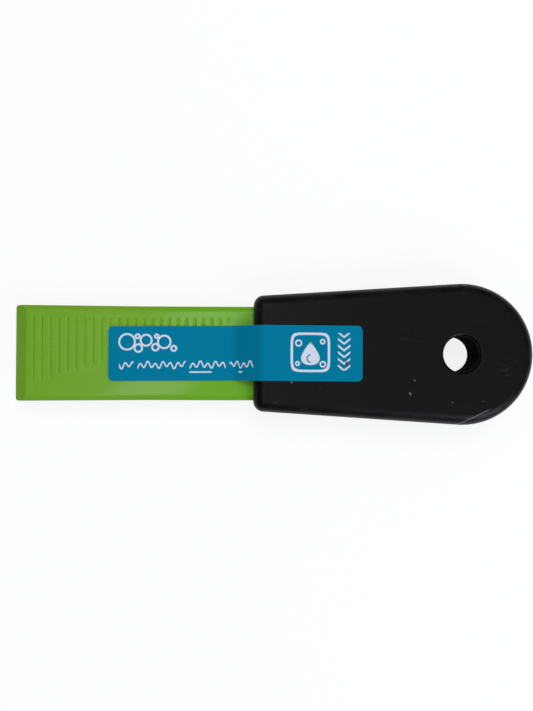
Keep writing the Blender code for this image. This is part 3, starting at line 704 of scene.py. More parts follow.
def handle_outline(handle, inset):
    """The handle from above, moved inwards: points anticlockwise from the rear, and its mouth.

    A half circle at the rear runs on as straight sides that touch it, corner arcs and a straight
    mouth. Every inset has as many points, which keep their places along each stretch.
    """
    reach, half_mouth = handle.end_x - handle.mouth_x, handle.mouth_width / 2
    across = math.hypot(reach, half_mouth)
    spread = math.asin(handle.end_radius / across) - math.atan2(half_mouth, reach)
    radius = handle.end_radius - inset
    corner = max(handle.corner_radius - inset, handle.sharpest_corner)
    corner_x = handle.mouth_x + inset + corner
    corner_y = radius - corner + math.sin(spread) * (corner_x - handle.end_x)
    corner_y /= math.cos(spread)
    rear = arc((handle.end_x, 0), radius, 0, QUARTER + spread, 56)
    front = arc((corner_x, corner_y), corner, QUARTER + spread, math.pi, 8)
    tangents = np.tan(np.linspace(0, math.radians(70), 24))  # closer together by the round end
    shares = (tangents / tangents[-1])[1:-1, None]
    side = rear[-1] + (front[0] - rear[-1]) * shares
    channel = handle.channel_half
    mouth_y = [channel, channel - MOUTH_STEP, channel - handle.channel_slope, *ACROSS_MOUTH]
    mouth_y = np.array(mouth_y) * min(1.0, corner_y / (channel + MOUTH_ROOM))
    mouth = np.stack([np.full(len(mouth_y), handle.mouth_x + inset), mouth_y], axis=-1)
    half = np.concatenate([rear, side, front, mouth])
    return np.concatenate([half, half[-2:0:-1] * (1, -1)])


def mouth_clearance(handle, side, outline):
    """How far from the seam the shell has to stay at each point of its outline, for the blade.

    Outside the mouth the height is below everything, so that the tongue keeps its own.
    """
    y = np.abs(outline[:, 1])
    channel = handle.channel_half
    in_mouth = (outline[:, 0] < handle.mouth_x + MERGE) & (y < channel - MOUTH_STEP / 2)
    steepness = (handle.channel_rise - handle.channel_shoulder) / handle.channel_slope
    slope = handle.channel_shoulder + (channel - y) * steepness
    height = np.minimum(slope, handle.channel_rise) if side > 0 else handle.channel_rise
    return np.where(in_mouth, height, -handle.height)


def shell_rows(handle, side):
    """The section of a shell, once round it: kind, size, height from the seam, lip and a mark.

    Kind "outline" is the outline moved inwards by the size, and "circle" is a circle of that radius
    about the hole. For "face" and "inner face" the size is the share of the way from the one to the
    other. Lip is 1 on the edge by the seam. The mark is the wear, highest in the middle of each
    round edge, and -1 down the hole's wall, where the material paints shade.
    """
    gap, lip, wall = handle.seam_gap / 2, handle.lip, handle.wall
    half, radius, rim = handle.height / 2, handle.edge_radius, handle.rim_radius
    ring = handle.hole_radius + handle.hole_wall
    rows = []

    def quarter(kind, size, height, radius, turns, worn=1):
        """A quarter round: in by 1 - cos and down by 1 - sin of each turn, times the radius."""
        for turn in turns:
            inwards, down = radius * (1 - math.cos(turn)), radius * (1 - math.sin(turn))
            rows.append((kind, size + inwards, height - down, 0, worn * math.sin(2 * turn)))

    for turn in np.linspace(0, QUARTER, 4):
        rows.append(("outline", lip * (1 - math.sin(turn)), gap + lip * (1 - math.cos(turn)), 1, 0))
    quarter("outline", handle.draft, half, radius, np.linspace(0, QUARTER, 15))
    rows += [("face", way, half, 0, 0) for way in (0.004, 0.02, 0.10, 0.3, 0.6, 0.9, 0.98)]
    quarter("circle", handle.hole_radius, half, rim, np.linspace(QUARTER, 0, 9))
    # Rows down the hole's wall, marked -1 so that the material paints shade there
    rows += [("circle", handle.hole_radius, half - rim - BORE_SHADE_FADE, 0, -1)]
    rows += [("circle", handle.hole_radius, gap + lip, 0, -1)]
    rows += [("circle", handle.hole_radius + lip, gap, 0, -1)]
    rows += [("circle", ring, gap, 0, 0), ("circle", ring, half - wall, 0, 0)]
    rows += [("inner face", way, half - wall, 0, 0) for way in (0.9, 0.5, 0.1)]
    inner_turns = np.linspace(QUARTER, 0, 6)
    quarter("outline", wall + handle.draft, half - wall, radius - wall, inner_turns, worn=0)
    if side > 0:
        rebate = handle.tongue_inset - handle.clearance
        depth = handle.tongue_height + handle.clearance
        seam = [(wall, depth), (rebate, depth), (rebate, gap)]
    else:
        inner, crest = handle.tongue_inset + handle.tongue_width, -handle.tongue_height
        seam = [(wall, gap), (inner, gap), (inner, crest), (handle.tongue_inset, crest)]
        seam += [(handle.tongue_inset, gap)]
    return rows + [("outline", inset, height, 0, 0) for inset, height in seam]


def shell_skin(handle, side):
    """A shell and its marks of edge wear and of painted shade down the hole: columns go round the
    outline and rows once round its section.

    In the mouth, rows by the seam are moved away from it to clear the blade.
    """
    outline = handle_outline(handle, 0.0)
    centre = np.array((hole_x(handle), 0.0))
    turn = np.arctan2(outline[:, 1], outline[:, 0] - centre[0])
    circle = np.stack([np.cos(turn), np.sin(turn)], axis=-1)
    face_edge = handle_outline(handle, handle.draft + handle.edge_radius)
    sizes = {"face": handle.hole_radius + handle.rim_radius}
    sizes["inner face"] = handle.hole_radius + handle.hole_wall
    clear = mouth_clearance(handle, side, outline)
    lift = np.clip(clear - handle.seam_gap / 2, 0, None)
    grid, marks = [], []
    for kind, size, height, lip, wear in shell_rows(handle, side):
        plan = centre + circle * sizes.get(kind, size)
        heights = np.full(len(plan), height)
        if kind == "outline":
            plan = handle_outline(handle, size)
            heights = height + lift if lip else np.maximum(height, clear)
        elif kind != "circle":
            plan = face_edge * (1 - size) + plan * size
        grid.append(np.column_stack([plan, handle.height / 2 + side * heights]))
        marks.append(np.full(len(plan), wear))
    return sheet(np.array(grid), round_rows=True), np.concatenate(marks)


def rib(handle, side, start, end, free=None):
    """A rib between two places in plan. Its section has a round free edge and a little draft."""
    free = handle.seam_gap / 2 if free is None else free
    start, end = np.array(start), np.array(end)
    along = (end - start) / np.hypot(*(end - start))
    beside = np.array((-along[1], along[0]))
    half, base = handle.rib / 2, handle.height / 2 - handle.wall + handle.bite / 2
    foot = half + handle.draft / 2
    turn = np.linspace(0, math.pi, 9)
    offsets = np.concatenate([[foot], half * np.cos(turn), [-foot]])[:, None]
    heights = np.concatenate([[base], free + half / 2 * (1 - np.sin(turn)), [base]])
    z = handle.height / 2 + side * heights
    rings = [np.column_stack([point + offsets * beside, z]) for point in (start, end)]
    return sheet(with_poles(np.array(rings)))


def shell_ribs(handle, side):
    """The ribs of a shell: rails and runners along the blade, and stiffeners round the bosses."""
    channel, rise, middle = handle.channel_half, handle.channel_rise, hole_x(handle)
    end_wall = BLADE_HIGH.x + handle.clearance + handle.rib / 2
    front, rear = handle.mouth_x + handle.wall - handle.bite, end_wall + handle.rib / 2
    rail = channel + handle.rib / 2
    runner = (SPRING_HIGH.y - SPRING_LOW.y) / 2 + handle.clearance + handle.rib / 2
    ring = handle.hole_radius + handle.hole_wall / 2
    inner = handle.end_radius - handle.wall + handle.bite
    boss_x, boss_y = SCREWS["left"]
    ribs = [((end_wall, -rail - handle.rib / 2), (end_wall, rail + handle.rib / 2))]
    ribs += [((rear, 0), (middle - ring, 0)), ((middle + ring, 0), (handle.end_x + inner, 0))]
    ribs += [((boss_x, handle.bite - inner), (boss_x, inner - handle.bite))]
    raised = []
    for sign in SIDES.values():
        back = handle.end_x + math.sqrt(inner**2 - boss_y**2)
        ribs.append(((front, sign * rail), (rear, sign * rail)))
        ribs.append(((rear, sign * boss_y), (back, sign * boss_y)))
        ribs.append(((middle, sign * ring), (middle, sign * inner)))
        for y in (SPRING_Y - runner, SPRING_Y + runner):
            raised.append(((front, sign * y), (end_wall, sign * y)))
    across_x = handle.mouth_x + handle.bed_length - handle.rib / 2
    if side < 0:
        across_x = SPRING_LOW.x - handle.clearance - handle.rib / 2
    raised.append(((across_x, -channel), (across_x, channel)))
    return [rib(handle, side, *ends) for ends in ribs] + [
        rib(handle, side, *ends, rise) for ends in raised
    ]


def shell_bosses(handle, side):
    """The screw bosses: turned posts with a blind hole above, or a through hole below."""
    seam, gap, lip = handle.height / 2, handle.seam_gap / 2, handle.lip
    radius, pilot, room = handle.boss_radius, handle.pilot_radius, handle.head_room
    if side > 0:
        wall = handle.height - handle.wall + handle.bite / 2
        radii = [0, radius, radius, radius - lip, pilot, pilot, 0]
        heights = [wall, wall, seam + gap + lip, seam + gap, seam + gap]
        heights += [handle.pilot_top, handle.pilot_top]
    else:
        wall = handle.wall - handle.bite / 2
        radii = [radius, radius, radius - lip, pilot, pilot, room, room]
        heights = [wall, seam - gap - lip, seam - gap, seam - gap]
        heights += [handle.head_seat, handle.head_seat, wall]
    return [
        sheet(turned(*middle, radii, heights, 40), round_rows=side < 0)
        for middle in SCREWS.values()
    ]


def screw_holes(handle):
    """Cutters for the holes in the lower face, each widened a little at the face."""
    widening, below = 1.06, -0.001
    radii = np.array([0, widening, widening, 1, 1, 0]) * handle.head_room
    top = handle.wall + handle.clearance
    heights = [below, below, 0, handle.draft, top, top]
    return [sheet(turned(*middle, radii, heights, 56)) for middle in SCREWS.values()]


def strip_frame(metal):
    """The strip's ground edge in X and Z, and unit vectors up the strip and through it."""
    up = np.array((math.cos(metal.strip_tilt), math.sin(metal.strip_tilt)))
    return np.array((STRIP_HIGH.x, STRIP_HIGH.z)), up, np.array((-up[1], up[0]))


def bed_blocks(handle, metal):
    """The bed under the blade: a block on each side of the strip's slanting slot."""
    top, up, _ = strip_frame(metal)
    high, low = handle.height / 2 - handle.channel_rise, handle.wall - handle.bite / 2
    drop = (high - low) * up[0] / up[1]
    slot_rear = top[0] + metal.slot_gap
    slot_front = top[0] - (metal.strip_thickness + metal.slot_gap) / up[1]
    front = handle.mouth_x + handle.wall - handle.bite
    back = handle.mouth_x + handle.bed_length
    blocks = []
    for section in (
        [(front, low), (front, high), (slot_front, high), (slot_front - drop, low)],
        [(slot_rear - drop, low), (slot_rear, high), (back, high), (back, low)],
    ):
        ends = (-handle.channel_half, handle.channel_half)
        rings = [np.insert(np.array(section), 1, y, axis=1) for y in ends]
        blocks.append(sheet(with_poles(np.array(rings))))
    return blocks


class SCRAPER_OT_shells(Operator):
    """Make the two shells of the handle, with their ribs, bosses and screw holes"""

    bl_idname = "scraper.shells"
    bl_label = "Make Shells"

    def execute(self, context):
        handle, metal = context.scene.scraper_handle, context.scene.scraper_metal
        material = black_plastic(handle)
        for name, side in (("upper", 1), ("lower", -1)):
            skin, wear = shell_skin(handle, side)
            obj = solid(f"{name}_half_of_handle", [skin], {"wear": wear})
            inside = shell_ribs(handle, side) + shell_bosses(handle, side)
            if side < 0:
                cut(obj, solid("screw holes", screw_holes(handle)))
                inside += bed_blocks(handle, metal)
            absorb(obj, solid("ribs", inside))
            finish_piece(obj, f"{name}_shell", "handle", material)
        return {"FINISHED"}


def line_mask(x, y, start, end, half_width):
    """1 along a straight line between two places, fading over the last tenth at each end.

    To the sides it fades from 0.4 of the half width on.
    """
    along = np.array(end) - np.array(start)
    run = float(np.hypot(*along))
    cos, sin = (float(part) for part in along / run)
    ahead = (x - start[0]) * cos + (y - start[1]) * sin
    aside = abs((y - start[1]) * cos - (x - start[0]) * sin)
    ends = ahead.between(0.0, run * 0.1) * ahead.between(run, run * 0.9)
    return aside.between(half_width, half_width * 0.4) * ends


def distance(x, y, middle):
    """How far a point is from a place."""
    return ((x - middle[0]) ** 2.0 + (y - middle[1]) ** 2.0).root()


def spot_mask(x, y, middle, radius):
    """1 in a round spot, fading to 0 from half its radius on."""
    return distance(x, y, middle).between(radius, radius * 0.5)


# The marks on the upper shell that the photograph shows. A scratch has its two ends, half its width
# and how strongly it shows, and a chip its middle, radius and strength.
SCRATCHES = (
    ((0.0680, -0.0301), (0.0857, -0.0213), 0.00018, 1.2),
    ((0.0533, -0.0149), (0.0541, -0.0163), 0.0002, 1.0),
    ((0.0822, -0.0184), (0.0825, -0.0187), 0.0002, 0.6),
)
CHIPS = (
    ((0.0537, -0.0156), 0.00055, 1.0), ((0.0072, -0.0113), 0.0005, 1.0),
    ((0.0555, -0.0104), 0.0004, 1.0), ((0.0703, -0.0189), 0.00045, 0.6),
)


def black_plastic(handle):
    """Matte plastic with a fine spark-eroded grain, dust, scuffs, a few marks of use, and painted
    shade down the hanging hole.
    """
    look = Look("black matte plastic", IOR=1.46, Specular_IOR_Level=0.18)
    x, y, z = look.split(look.position)
    cloud = look.noise(35, 3, 0.6)
    grain = look.noise(5200, 2, 0.6)
    pores = look.noise(1900, 3, 0.6)
    rub = look.noise(140, 4, 0.7, stretch=(0.5, 1, 1))
    patches = look.noise(90, 2, 0.5)
    dust = look.specks(420).between(0.06, 0.02) * patches.between(0.56, 0.68)
    hairs = look.contour(300, 0.008, stretch=(0.15, 1, 1), turn=-0.5) * patches.between(0.55, 0.68)
    damage = [line_mask(x, y, *scratch) * strength for *scratch, strength in SCRATCHES]
    damage += [spot_mask(x, y, *chip) * strength for *chip, strength in CHIPS]
    upper = z.between(handle.height * 0.6, handle.height * 0.9)
    marks = (dust * 0.45 + hairs * 0.12 + highest(damage) * upper).least(1.25)
    worn = look.mark("wear").most(0.0) * rub.between(0.42, 0.62)
    # Painted shade: rows marked -1 down the hanging hole darken towards the bore colour
    painted_bore_shade = look.mark("wear").between(0.0, -1.0)
    pale = cloud.between(0.3, 0.7) * 0.8 + grain * 0.2
    face = look.mix(pale, handle.plastic_colour, handle.pale_colour)
    face = look.mix(worn * 0.04 + marks * 0.8, face, handle.scuff_colour)
    face = look.mix(painted_bore_shade, face, handle.bore_shade_colour)
    normal = look.bump(grain, 0.00004, 0.45)
    normal = look.bump(pores, 0.00005, 0.3, normal)
    roughness = 0.28 + pores * 0.08 + rub * 0.08 + painted_bore_shade * 0.5
    return look.set(Base_Color=face, Roughness=roughness, Normal=normal)


def label_line(label, handle):
    """The label's underside along the tool in X and Z, with the run of film before each point.

    It lies flat on the blade, bends up, runs straight to the handle's round front edge, follows
    that edge and lies flat on the handle.
    """
    stand_off, slope, corner = handle.clearance, label.slope, label.corner_radius
    radius = handle.edge_radius + stand_off
    centre_x = handle.mouth_x + handle.draft + handle.edge_radius
    centre = (centre_x, handle.height - handle.edge_radius)
    over = arc(centre, radius, QUARTER + slope, QUARTER, 16)
    rise = label.bend_radius * (1 - math.cos(slope))
    bend_end = over[0, 0] - (over[0, 1] - label.blade_z - rise) / math.tan(slope)
    bend_x = bend_end - label.bend_radius * math.sin(slope)
    bend_centre = (bend_x, label.blade_z + label.bend_radius)
    bend = arc(bend_centre, label.bend_radius, -QUARTER, slope - QUARTER, 16)
    straight = bend[-1] + (over[0] - bend[-1]) * np.linspace(0, 1, 12)[1:-1, None]
    ease = corner * (1 - np.cos(np.linspace(0, QUARTER, 9)))
    front_x = np.linspace(label.front_x + corner, bend_x, 40)[1:-1]
    rear_x = np.linspace(over[-1, 0], label.rear_x - corner, 40)[1:-1]
    front_x = np.concatenate([label.front_x + ease, front_x])
    rear_x = np.concatenate([rear_x, label.rear_x - ease[::-1]])
    front = np.stack([front_x, np.full(len(front_x), label.blade_z)], axis=-1)
    rear = np.stack([rear_x, np.full(len(rear_x), handle.height + stand_off)], axis=-1)
    line = np.concatenate([front, bend, straight, over, rear])
    return line, np.concatenate([[0], np.cumsum(np.hypot(*np.diff(line, axis=0).T))])


def label_film(label, handle):
    """The label: stations along its line by points round its thin section.

    Its width is cut back by a quarter circle at each end. Its middle line sways a little between
    the front end, the mouth and the rear end.
    """
    line, run = label_line(label, handle)
    ahead = np.gradient(line, run, axis=0)
    ahead /= np.hypot(*ahead.T)[:, None]
    up = np.stack([-ahead[:, 1], ahead[:, 0]], axis=-1)
    short = np.clip(label.corner_radius - np.minimum(run, run[-1] - run), 0, None)
    half = label.width / 2 - label.corner_radius
    half = half + np.sqrt(np.clip(label.corner_radius**2 - short**2, 0, None))
    sway = (-label.front_lean, label.mouth_lean, 0.0)
    middle = np.interp(line[:, 0], (label.front_x, handle.mouth_x, label.rear_x), sway)
    spread = np.linspace(-1, 1, 25)
    across = half[:, None] * np.concatenate([spread, spread[::-1]])
    level = np.repeat([0, 1], len(spread))
    base = line[:, None, :] + up[:, None, :] * (level * label.thickness)[:, None]
    points = np.stack([base[..., 0], middle[:, None] + across, base[..., 1]], axis=-1)
    underside = np.broadcast_to(1 - level, across.shape)
    uv = np.stack(np.broadcast_arrays(run[:, None], across), axis=-1)
    uv = with_pole_rows(uv).reshape(-1, 2)
    return sheet(with_poles(points)), with_pole_rows(underside).ravel(), uv


class SCRAPER_OT_label(Operator):
    """Make the blue label that bridges the blade and the handle"""

    bl_idname = "scraper.label"
    bl_label = "Make Label"

    def execute(self, context):
        label, handle = context.scene.scraper_label, context.scene.scraper_handle
        film, underside, uv = label_film(label, handle)
        obj = solid("blue_label", [film], {"underside": underside}, uv)
        material = blue_film(label, float(uv[:, 0].max()))
        finish_piece(obj, "label", "handle", material)
        return {"FINISHED"}


# The print, in metres: u runs along the film from its front end, and v to the left of the tool.
PRINT_SOFTNESS = 0.00009  # half the width over which a printed edge fades
BUBBLES = (  # middle and radius, in thousandths
    (7.4, 4.7, 3.1), (11.9, 2.2, 1.5), (15.0, 5.3, 2.2), (18.7, 2.5, 1.3), (22.2, 4.6, 2.5),
    (19.2, 6.9, 0.7), (26.0, 2.0, 1.0), (11.6, 6.9, 0.8),
)
BUBBLE_LINE = 0.00075
RIPPLE_V = -0.0046
RIPPLE_LINE = 0.00028  # half the width of its line
RIPPLE_WAVES = ((2100.0, 0.00095, 2.0), (900.0, 0.00045, 0.4))  # turn per metre, height, steepness
RIPPLE_RUNS = ((0.0043, 0.0100), (0.0116, 0.0307), (0.0323, 0.0467), (0.0483, 0.0590))
UNDERLINES = ((0.0323, 0.0411), (0.0523, 0.0540))
UNDERLINE_V = (-0.0078, -0.0072)
DROP_FROM_REAR, DROP_V = 0.02044, 0.00035  # middle of the frame round the drop
FRAME_HALF, FRAME_LINE = 0.0078, (0.87, 0.99)  # the line as shares of the half width
DROP_SIZE, DROP_SHIFT = 0.0052, 0.0002
SHINE = ((0.0002, -0.0024), 0.0015, 0.0005)  # middle, radius and line
SHINE_SIDE = (0.0004, -0.0002)  # it is cut off to the right of these
SPRAY = (  # middle and radius
    ((-0.0046, 0.0036), 0.0011), ((0.0048, 0.0042), 0.0008),
    ((0.0049, -0.0046), 0.0010), ((-0.0050, -0.0044), 0.0007),
)
SPRAY_LINE = 0.0006
CHEVRONS_FROM_REAR, CHEVRON_HALF, CHEVRONS_V = 0.00725, 0.0024, (-0.0066, 0.0080)
CHEVRON_PITCH, CHEVRON_SLOPE, CHEVRON_LINE = 0.0026, 0.8, (0.30, 0.62)  # the line as shares
STAIN_FROM_REAR, STAIN_V, STAIN_RADIUS, STAIN_STRETCH = 0.0061, -0.0041, 0.0008, (0.9, 0.55)
WORN_RIM = (0.00022, 0.00005)  # how far from the edge the film starts to fade, and is faded


def band(value, low, high, soft=PRINT_SOFTNESS):
    """1 between two values, with soft edges."""
    return value.between(low - soft, low + soft) * value.between(high + soft, high - soft)


def within(value, most):
    """1 where a value that is 0 or more is under the most."""
    return value.between(most + PRINT_SOFTNESS, most - PRINT_SOFTNESS)


def ring_mask(u, v, middle, radius, stroke):
    """A printed ring: 1 within half a stroke of a circle."""
    return within(abs(distance(u, v, middle) - radius), stroke / 2)


def bubbles_print(u, v):
    """A loose row of soap bubbles of different sizes, each a ring."""
    places = (np.array(BUBBLES) / 1000).tolist()
    return highest(ring_mask(u, v, middle, radius, BUBBLE_LINE) for *middle, radius in places)


def ripples_print(u, v):
    """Four runs of a hand-drawn ripple, the sum of two waves, with a line under two of them.

    The distance to the ripple is taken along v and divided by the root of its steepness squared
    and 1, which gives the line the same width all along.
    """
    heights, steeps = zip(*(
        ((u * turn).wave() * height, (u * turn + QUARTER).wave() * steep)
        for turn, height, steep in RIPPLE_WAVES
    ))
    slope = steeps[0] + steeps[1]
    across = abs(v - RIPPLE_V - (heights[0] + heights[1])) / (slope ** 2.0 + 1.0).root()
    ripple = within(across, RIPPLE_LINE) * highest(band(u, *run) for run in RIPPLE_RUNS)
    return ripple.most(band(v, *UNDERLINE_V) * highest(band(u, *run) for run in UNDERLINES))


def drop_print(u, v):
    """A round-cornered frame, the level line of x^6 + y^6, round a drop and a few bubbles.

    The drop is where x^2 < 0.3 (1 - y)^3 (1 + y), with its tip at y = 1.
    """
    square = ((abs(u) / FRAME_HALF) ** 6.0 + (abs(v) / FRAME_HALF) ** 6.0) ** (1 / 6)
    tall, wide = (v - DROP_SHIFT) / DROP_SIZE, u / DROP_SIZE
    inside = (1.0 - tall).most(0.0) ** 3.0 * (1.0 + tall).most(0.0) * 0.3 - wide ** 2.0
    shine = ring_mask(u, v, *SHINE) * u.between(*SHINE_SIDE)
    spray = [ring_mask(u, v, *bubble, SPRAY_LINE) for bubble in SPRAY]
    frame_line = band(square, *FRAME_LINE, PRINT_SOFTNESS / FRAME_HALF)
    return highest([frame_line, inside.between(0.0, 0.04) * (1.0 - shine), *spray])


def chevrons_print(u, v):
    """A column of chevrons that point to the left of the tool: bands of v less the slope of |u|."""
    phase = ((v - abs(u) * CHEVRON_SLOPE) / CHEVRON_PITCH).remainder()
    stroke = band(phase, *CHEVRON_LINE, PRINT_SOFTNESS / CHEVRON_PITCH)
    return stroke * within(abs(u), CHEVRON_HALF) * band(v, *CHEVRONS_V)


def blue_film(label, run):
    """Satin blue film with white print, paler at its cut edge and grey glue beneath.

    The print is measured from the front end on the blade and from the rear end on the handle.
    """
    look = Look("blue printed film", IOR=1.5, Specular_IOR_Level=0.02)
    u, v, _ = look.split(look.uv)
    white = highest([
        bubbles_print(u, v),
        ripples_print(u, v),
        drop_print(u - (run - DROP_FROM_REAR), v - DROP_V),
        chevrons_print(u - (run - CHEVRONS_FROM_REAR), v),
    ])
    cloud = look.noise(70, 3, 0.6)
    fibres = look.noise(700, 3, 0.7, stretch=(1, 0.3, 1))
    fade = (cloud - 0.45).most(0.0) * 0.9 + (fibres - 0.5).most(0.0) * 0.25
    face = look.mix(fade, label.film_colour, label.faded_colour)
    face = look.mix(white * (1.0 - fibres * 0.12), face, label.print_colour)
    wide, tall = STAIN_STRETCH
    stain_middle = ((run - STAIN_FROM_REAR) * wide, STAIN_V * tall)
    stain = spot_mask(u * wide, v * tall, stain_middle, STAIN_RADIUS)
    face = look.mix(stain * 0.85, face, label.stain_colour)
    to_rim = (label.width / 2 - abs(v)).least(u.least(run - u))
    face = look.mix(to_rim.between(*WORN_RIM) * 0.35, face, label.faded_colour)
    face = look.mix(look.mark("underside").between(0.02, 0.25), face, label.edge_colour)
    normal = look.bump(look.noise(2600, 2, 0.5), 0.00001, 0.3)
    normal = look.bump(cloud, 0.0004, 0.12, normal)
    return look.set(Base_Color=face, Roughness=0.42 + fibres * 0.16, Normal=normal)


def screw_surface(metal, x, y):
    """A screw from its head down to its point: rings of points, with the recess and the thread.

    The head's face sinks where either slot of the cross covers it. The shank's radius follows a
    helix: crest at whole turns of height over pitch less angle, root half a turn on.
    """
    turn = np.linspace(0, 2 * math.pi, 64, endpoint=False)[None, :]
    face_radius = np.linspace(0, metal.head_radius - metal.head_round, 26)[:, None]
    px, py = face_radius * np.cos(turn), face_radius * np.sin(turn)
    half_long, half_wide, soft = metal.cross_length / 2, metal.cross_width / 2, metal.cross_softness
    slots = [
        smooth_step((half_long - np.abs(a)) / soft) * smooth_step((half_wide - np.abs(b)) / soft)
        for a, b in ((px, py), (py, px))
    ]
    base, top = SCREW_LOW.z, SCREW_HIGH.z
    face_z = base + metal.cross_depth * np.maximum(*slots)
    corner = np.linspace(0, QUARTER, 7)[1:, None]
    edge_radius = metal.head_radius - metal.head_round * (1 - np.sin(corner))
    edge_z = base + metal.head_round * (1 - np.cos(corner))
    seat = base + metal.head_height
    shank_z = np.linspace(seat, top, 110)[:, None]
    phase = (shank_z - seat) / metal.thread_pitch - turn / (2 * math.pi)
    crest = np.abs(2 * (phase - np.floor(phase)) - 1)
    fade = np.clip((shank_z - seat) / metal.thread_pitch, 0, 1)
    taper = np.clip((top - shank_z) / metal.point, 0, 1)
    shank = metal.shank_radius * (0.5 + 0.5 * taper) - metal.thread_depth * (1 - crest) * fade
    seat_radii = np.array([[metal.head_radius], [(metal.head_radius + metal.shank_radius) / 2]])
    flat = np.ones_like(turn)
    radii = np.concatenate([face_radius * flat, edge_radius * flat, seat_radii * flat, shank])
    heights = [face_z, edge_z * flat, np.full(seat_radii.shape, seat) * flat, shank_z * flat]
    heights = np.concatenate(heights)
    points = np.stack([x + radii * np.cos(turn), y + radii * np.sin(turn), heights], axis=-1)
    return sheet(with_poles(points))


class SCRAPER_OT_screws(Operator):
    """Make the four screws, each with a cross recess and a thread"""

    bl_idname = "scraper.screws"
    bl_label = "Make Screws"

    def execute(self, context):
        metal = context.scene.scraper_metal
        material = zinc(metal)
        for name, (x, y) in SCREWS.items():
            obj = solid(f"{name}_screw", [screw_surface(metal, x, y)])
            finish_piece(obj, f"shell_screw_{name}", "handle", material)
        return {"FINISHED"}


def zinc(metal):
    """Zinc plating, faintly mottled and dulled."""
    look = Look("zinc plating", Metallic=1.0)
    mottle = look.noise(900, 3, 0.6)
    face = look.mix(mottle.between(0.35, 0.7), metal.zinc_colour, metal.dull_zinc_colour)
    normal = look.bump(look.noise(6000, 2, 0.6), 0.00001, 0.4)
    return look.set(Base_Color=face, Roughness=0.26 + mottle * 0.2, Normal=normal)


CORNER_SHARE = 0.3  # round of a spring's corners, as a share of its thickness


def spring_surface(metal, name):
    """A leaf spring: a flat strip bowed by sin^2 between two feet, its section drawn round."""
    low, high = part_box(f"detent_spring_{name}")
    half_bow = (high.x - low.x) / 2 - metal.spring_foot
    crown = high.z - low.z - metal.spring_thickness
    way = np.linspace(0, 1, 60)
    bow = (low.x + high.x) / 2 + half_bow * (2 * way - 1)
    x = np.concatenate([[low.x], bow, [high.x]])
    z = low.z + np.concatenate([[0], crown * np.sin(math.pi * way) ** 2, [0]])
    corner = metal.spring_thickness * CORNER_SHARE
    edge_y, edge_z = (high.y - low.y) / 2 - corner, metal.spring_thickness - corner
    corners = ((edge_y, edge_z), (-edge_y, edge_z), (-edge_y, corner), (edge_y, corner))
    section = np.concatenate([
        arc(centre, corner, QUARTER * start, QUARTER * (start + 1), 3)
        for start, centre in enumerate(corners)
    ])
    y = (low.y + high.y) / 2 + section[:, 0]
    points = np.stack(np.broadcast_arrays(x[:, None], y, z[:, None] + section[:, 1]), axis=-1)
    return sheet(with_poles(points))


class SCRAPER_OT_springs(Operator):
    """Make the two leaf springs under the tang"""

    bl_idname = "scraper.springs"
    bl_label = "Make Springs"

    def execute(self, context):
        metal = context.scene.scraper_metal
        material = steel(metal, "spring steel", (0.05, 1, 1))
        for name in SIDES:
            obj = solid(f"{name}_leaf_spring", [spring_surface(metal, name)])
            finish_piece(obj, f"detent_spring_{name}", "handle", material)
        return {"FINISHED"}


def strip_surface(metal):
    """The steel strip: a leaning section with a ground edge, carried across the tool."""
    top, up, through = strip_frame(metal)
    ground = up * metal.strip_thickness / math.tan(metal.strip_grind)
    front, foot = through * metal.strip_thickness, -up * metal.strip_height
    corners = np.array([foot, (0, 0), front - ground, foot + front]) + top
    section = []
    for before, here, after in zip(np.roll(corners, 1, 0), corners, np.roll(corners, -1, 0)):
        first, last = (
            here + (other - here) / np.hypot(*(other - here)) * metal.strip_round
            for other in (before, after)
        )
        section += [first, (first + last + 2 * here) / 4, last]
    section = np.array(section)
    rings = [np.insert(section, 1, y, axis=1) for y in np.linspace(STRIP_LOW.y, STRIP_HIGH.y, 9)]
    return sheet(with_poles(np.array(rings)))


class SCRAPER_OT_strip(Operator):
    """Make the ground steel strip in the mouth"""

    bl_idname = "scraper.strip"
    bl_label = "Make Strip"

    def execute(self, context):
        metal = context.scene.scraper_metal
        obj = solid("steel_trimming_strip", [strip_surface(metal)])
        material = steel(metal, "ground steel", (1, 0.02, 1))
        finish_piece(obj, "trimming_strip", "handle", material)
        return {"FINISHED"}


def steel(metal, name, stretch):
    """Steel with fine lines drawn one way and a few darker spots."""
    look = Look(name, Metallic=1.0)
    lines = look.noise(5000, 3, 0.6, stretch=stretch)
    spots = look.noise(260, 4, 0.7)
    face = look.mix(spots.between(0.5, 0.8) * 0.6, metal.steel_colour, metal.stained_colour)
    normal = look.bump(lines, 0.00001, 0.5)
    return look.set(Base_Color=face, Roughness=0.22 + lines * 0.2, Normal=normal)


class SCRAPER_OT_stage(Operator):
    """Make the floor, the lamps, the sky and the camera"""

    bl_idname = "scraper.stage"
    bl_label = "Make Stage"

    def execute(self, context):
        stage = context.scene.scraper_stage
        make_floor(stage)
        make_sky(context.scene, stage)
        make_lamps(context.scene, stage)
        make_camera(context.scene, stage)
        context.scene.view_settings.view_transform = "Standard"
        return {"FINISHED"}


PLAIN, COOL = (1.0, 1.0, 1.0), (0.80, 0.88, 1.0)
FLOOR_COLOUR = (0.93, 0.93, 0.93)
SHADOW_REACH = (0.45, 0.15)  # where the floor's shade begins, and where it is full
OVERHEAD = (0.92, 0.72)  # in gloss the sky fades as a ray's upward part goes from this to that


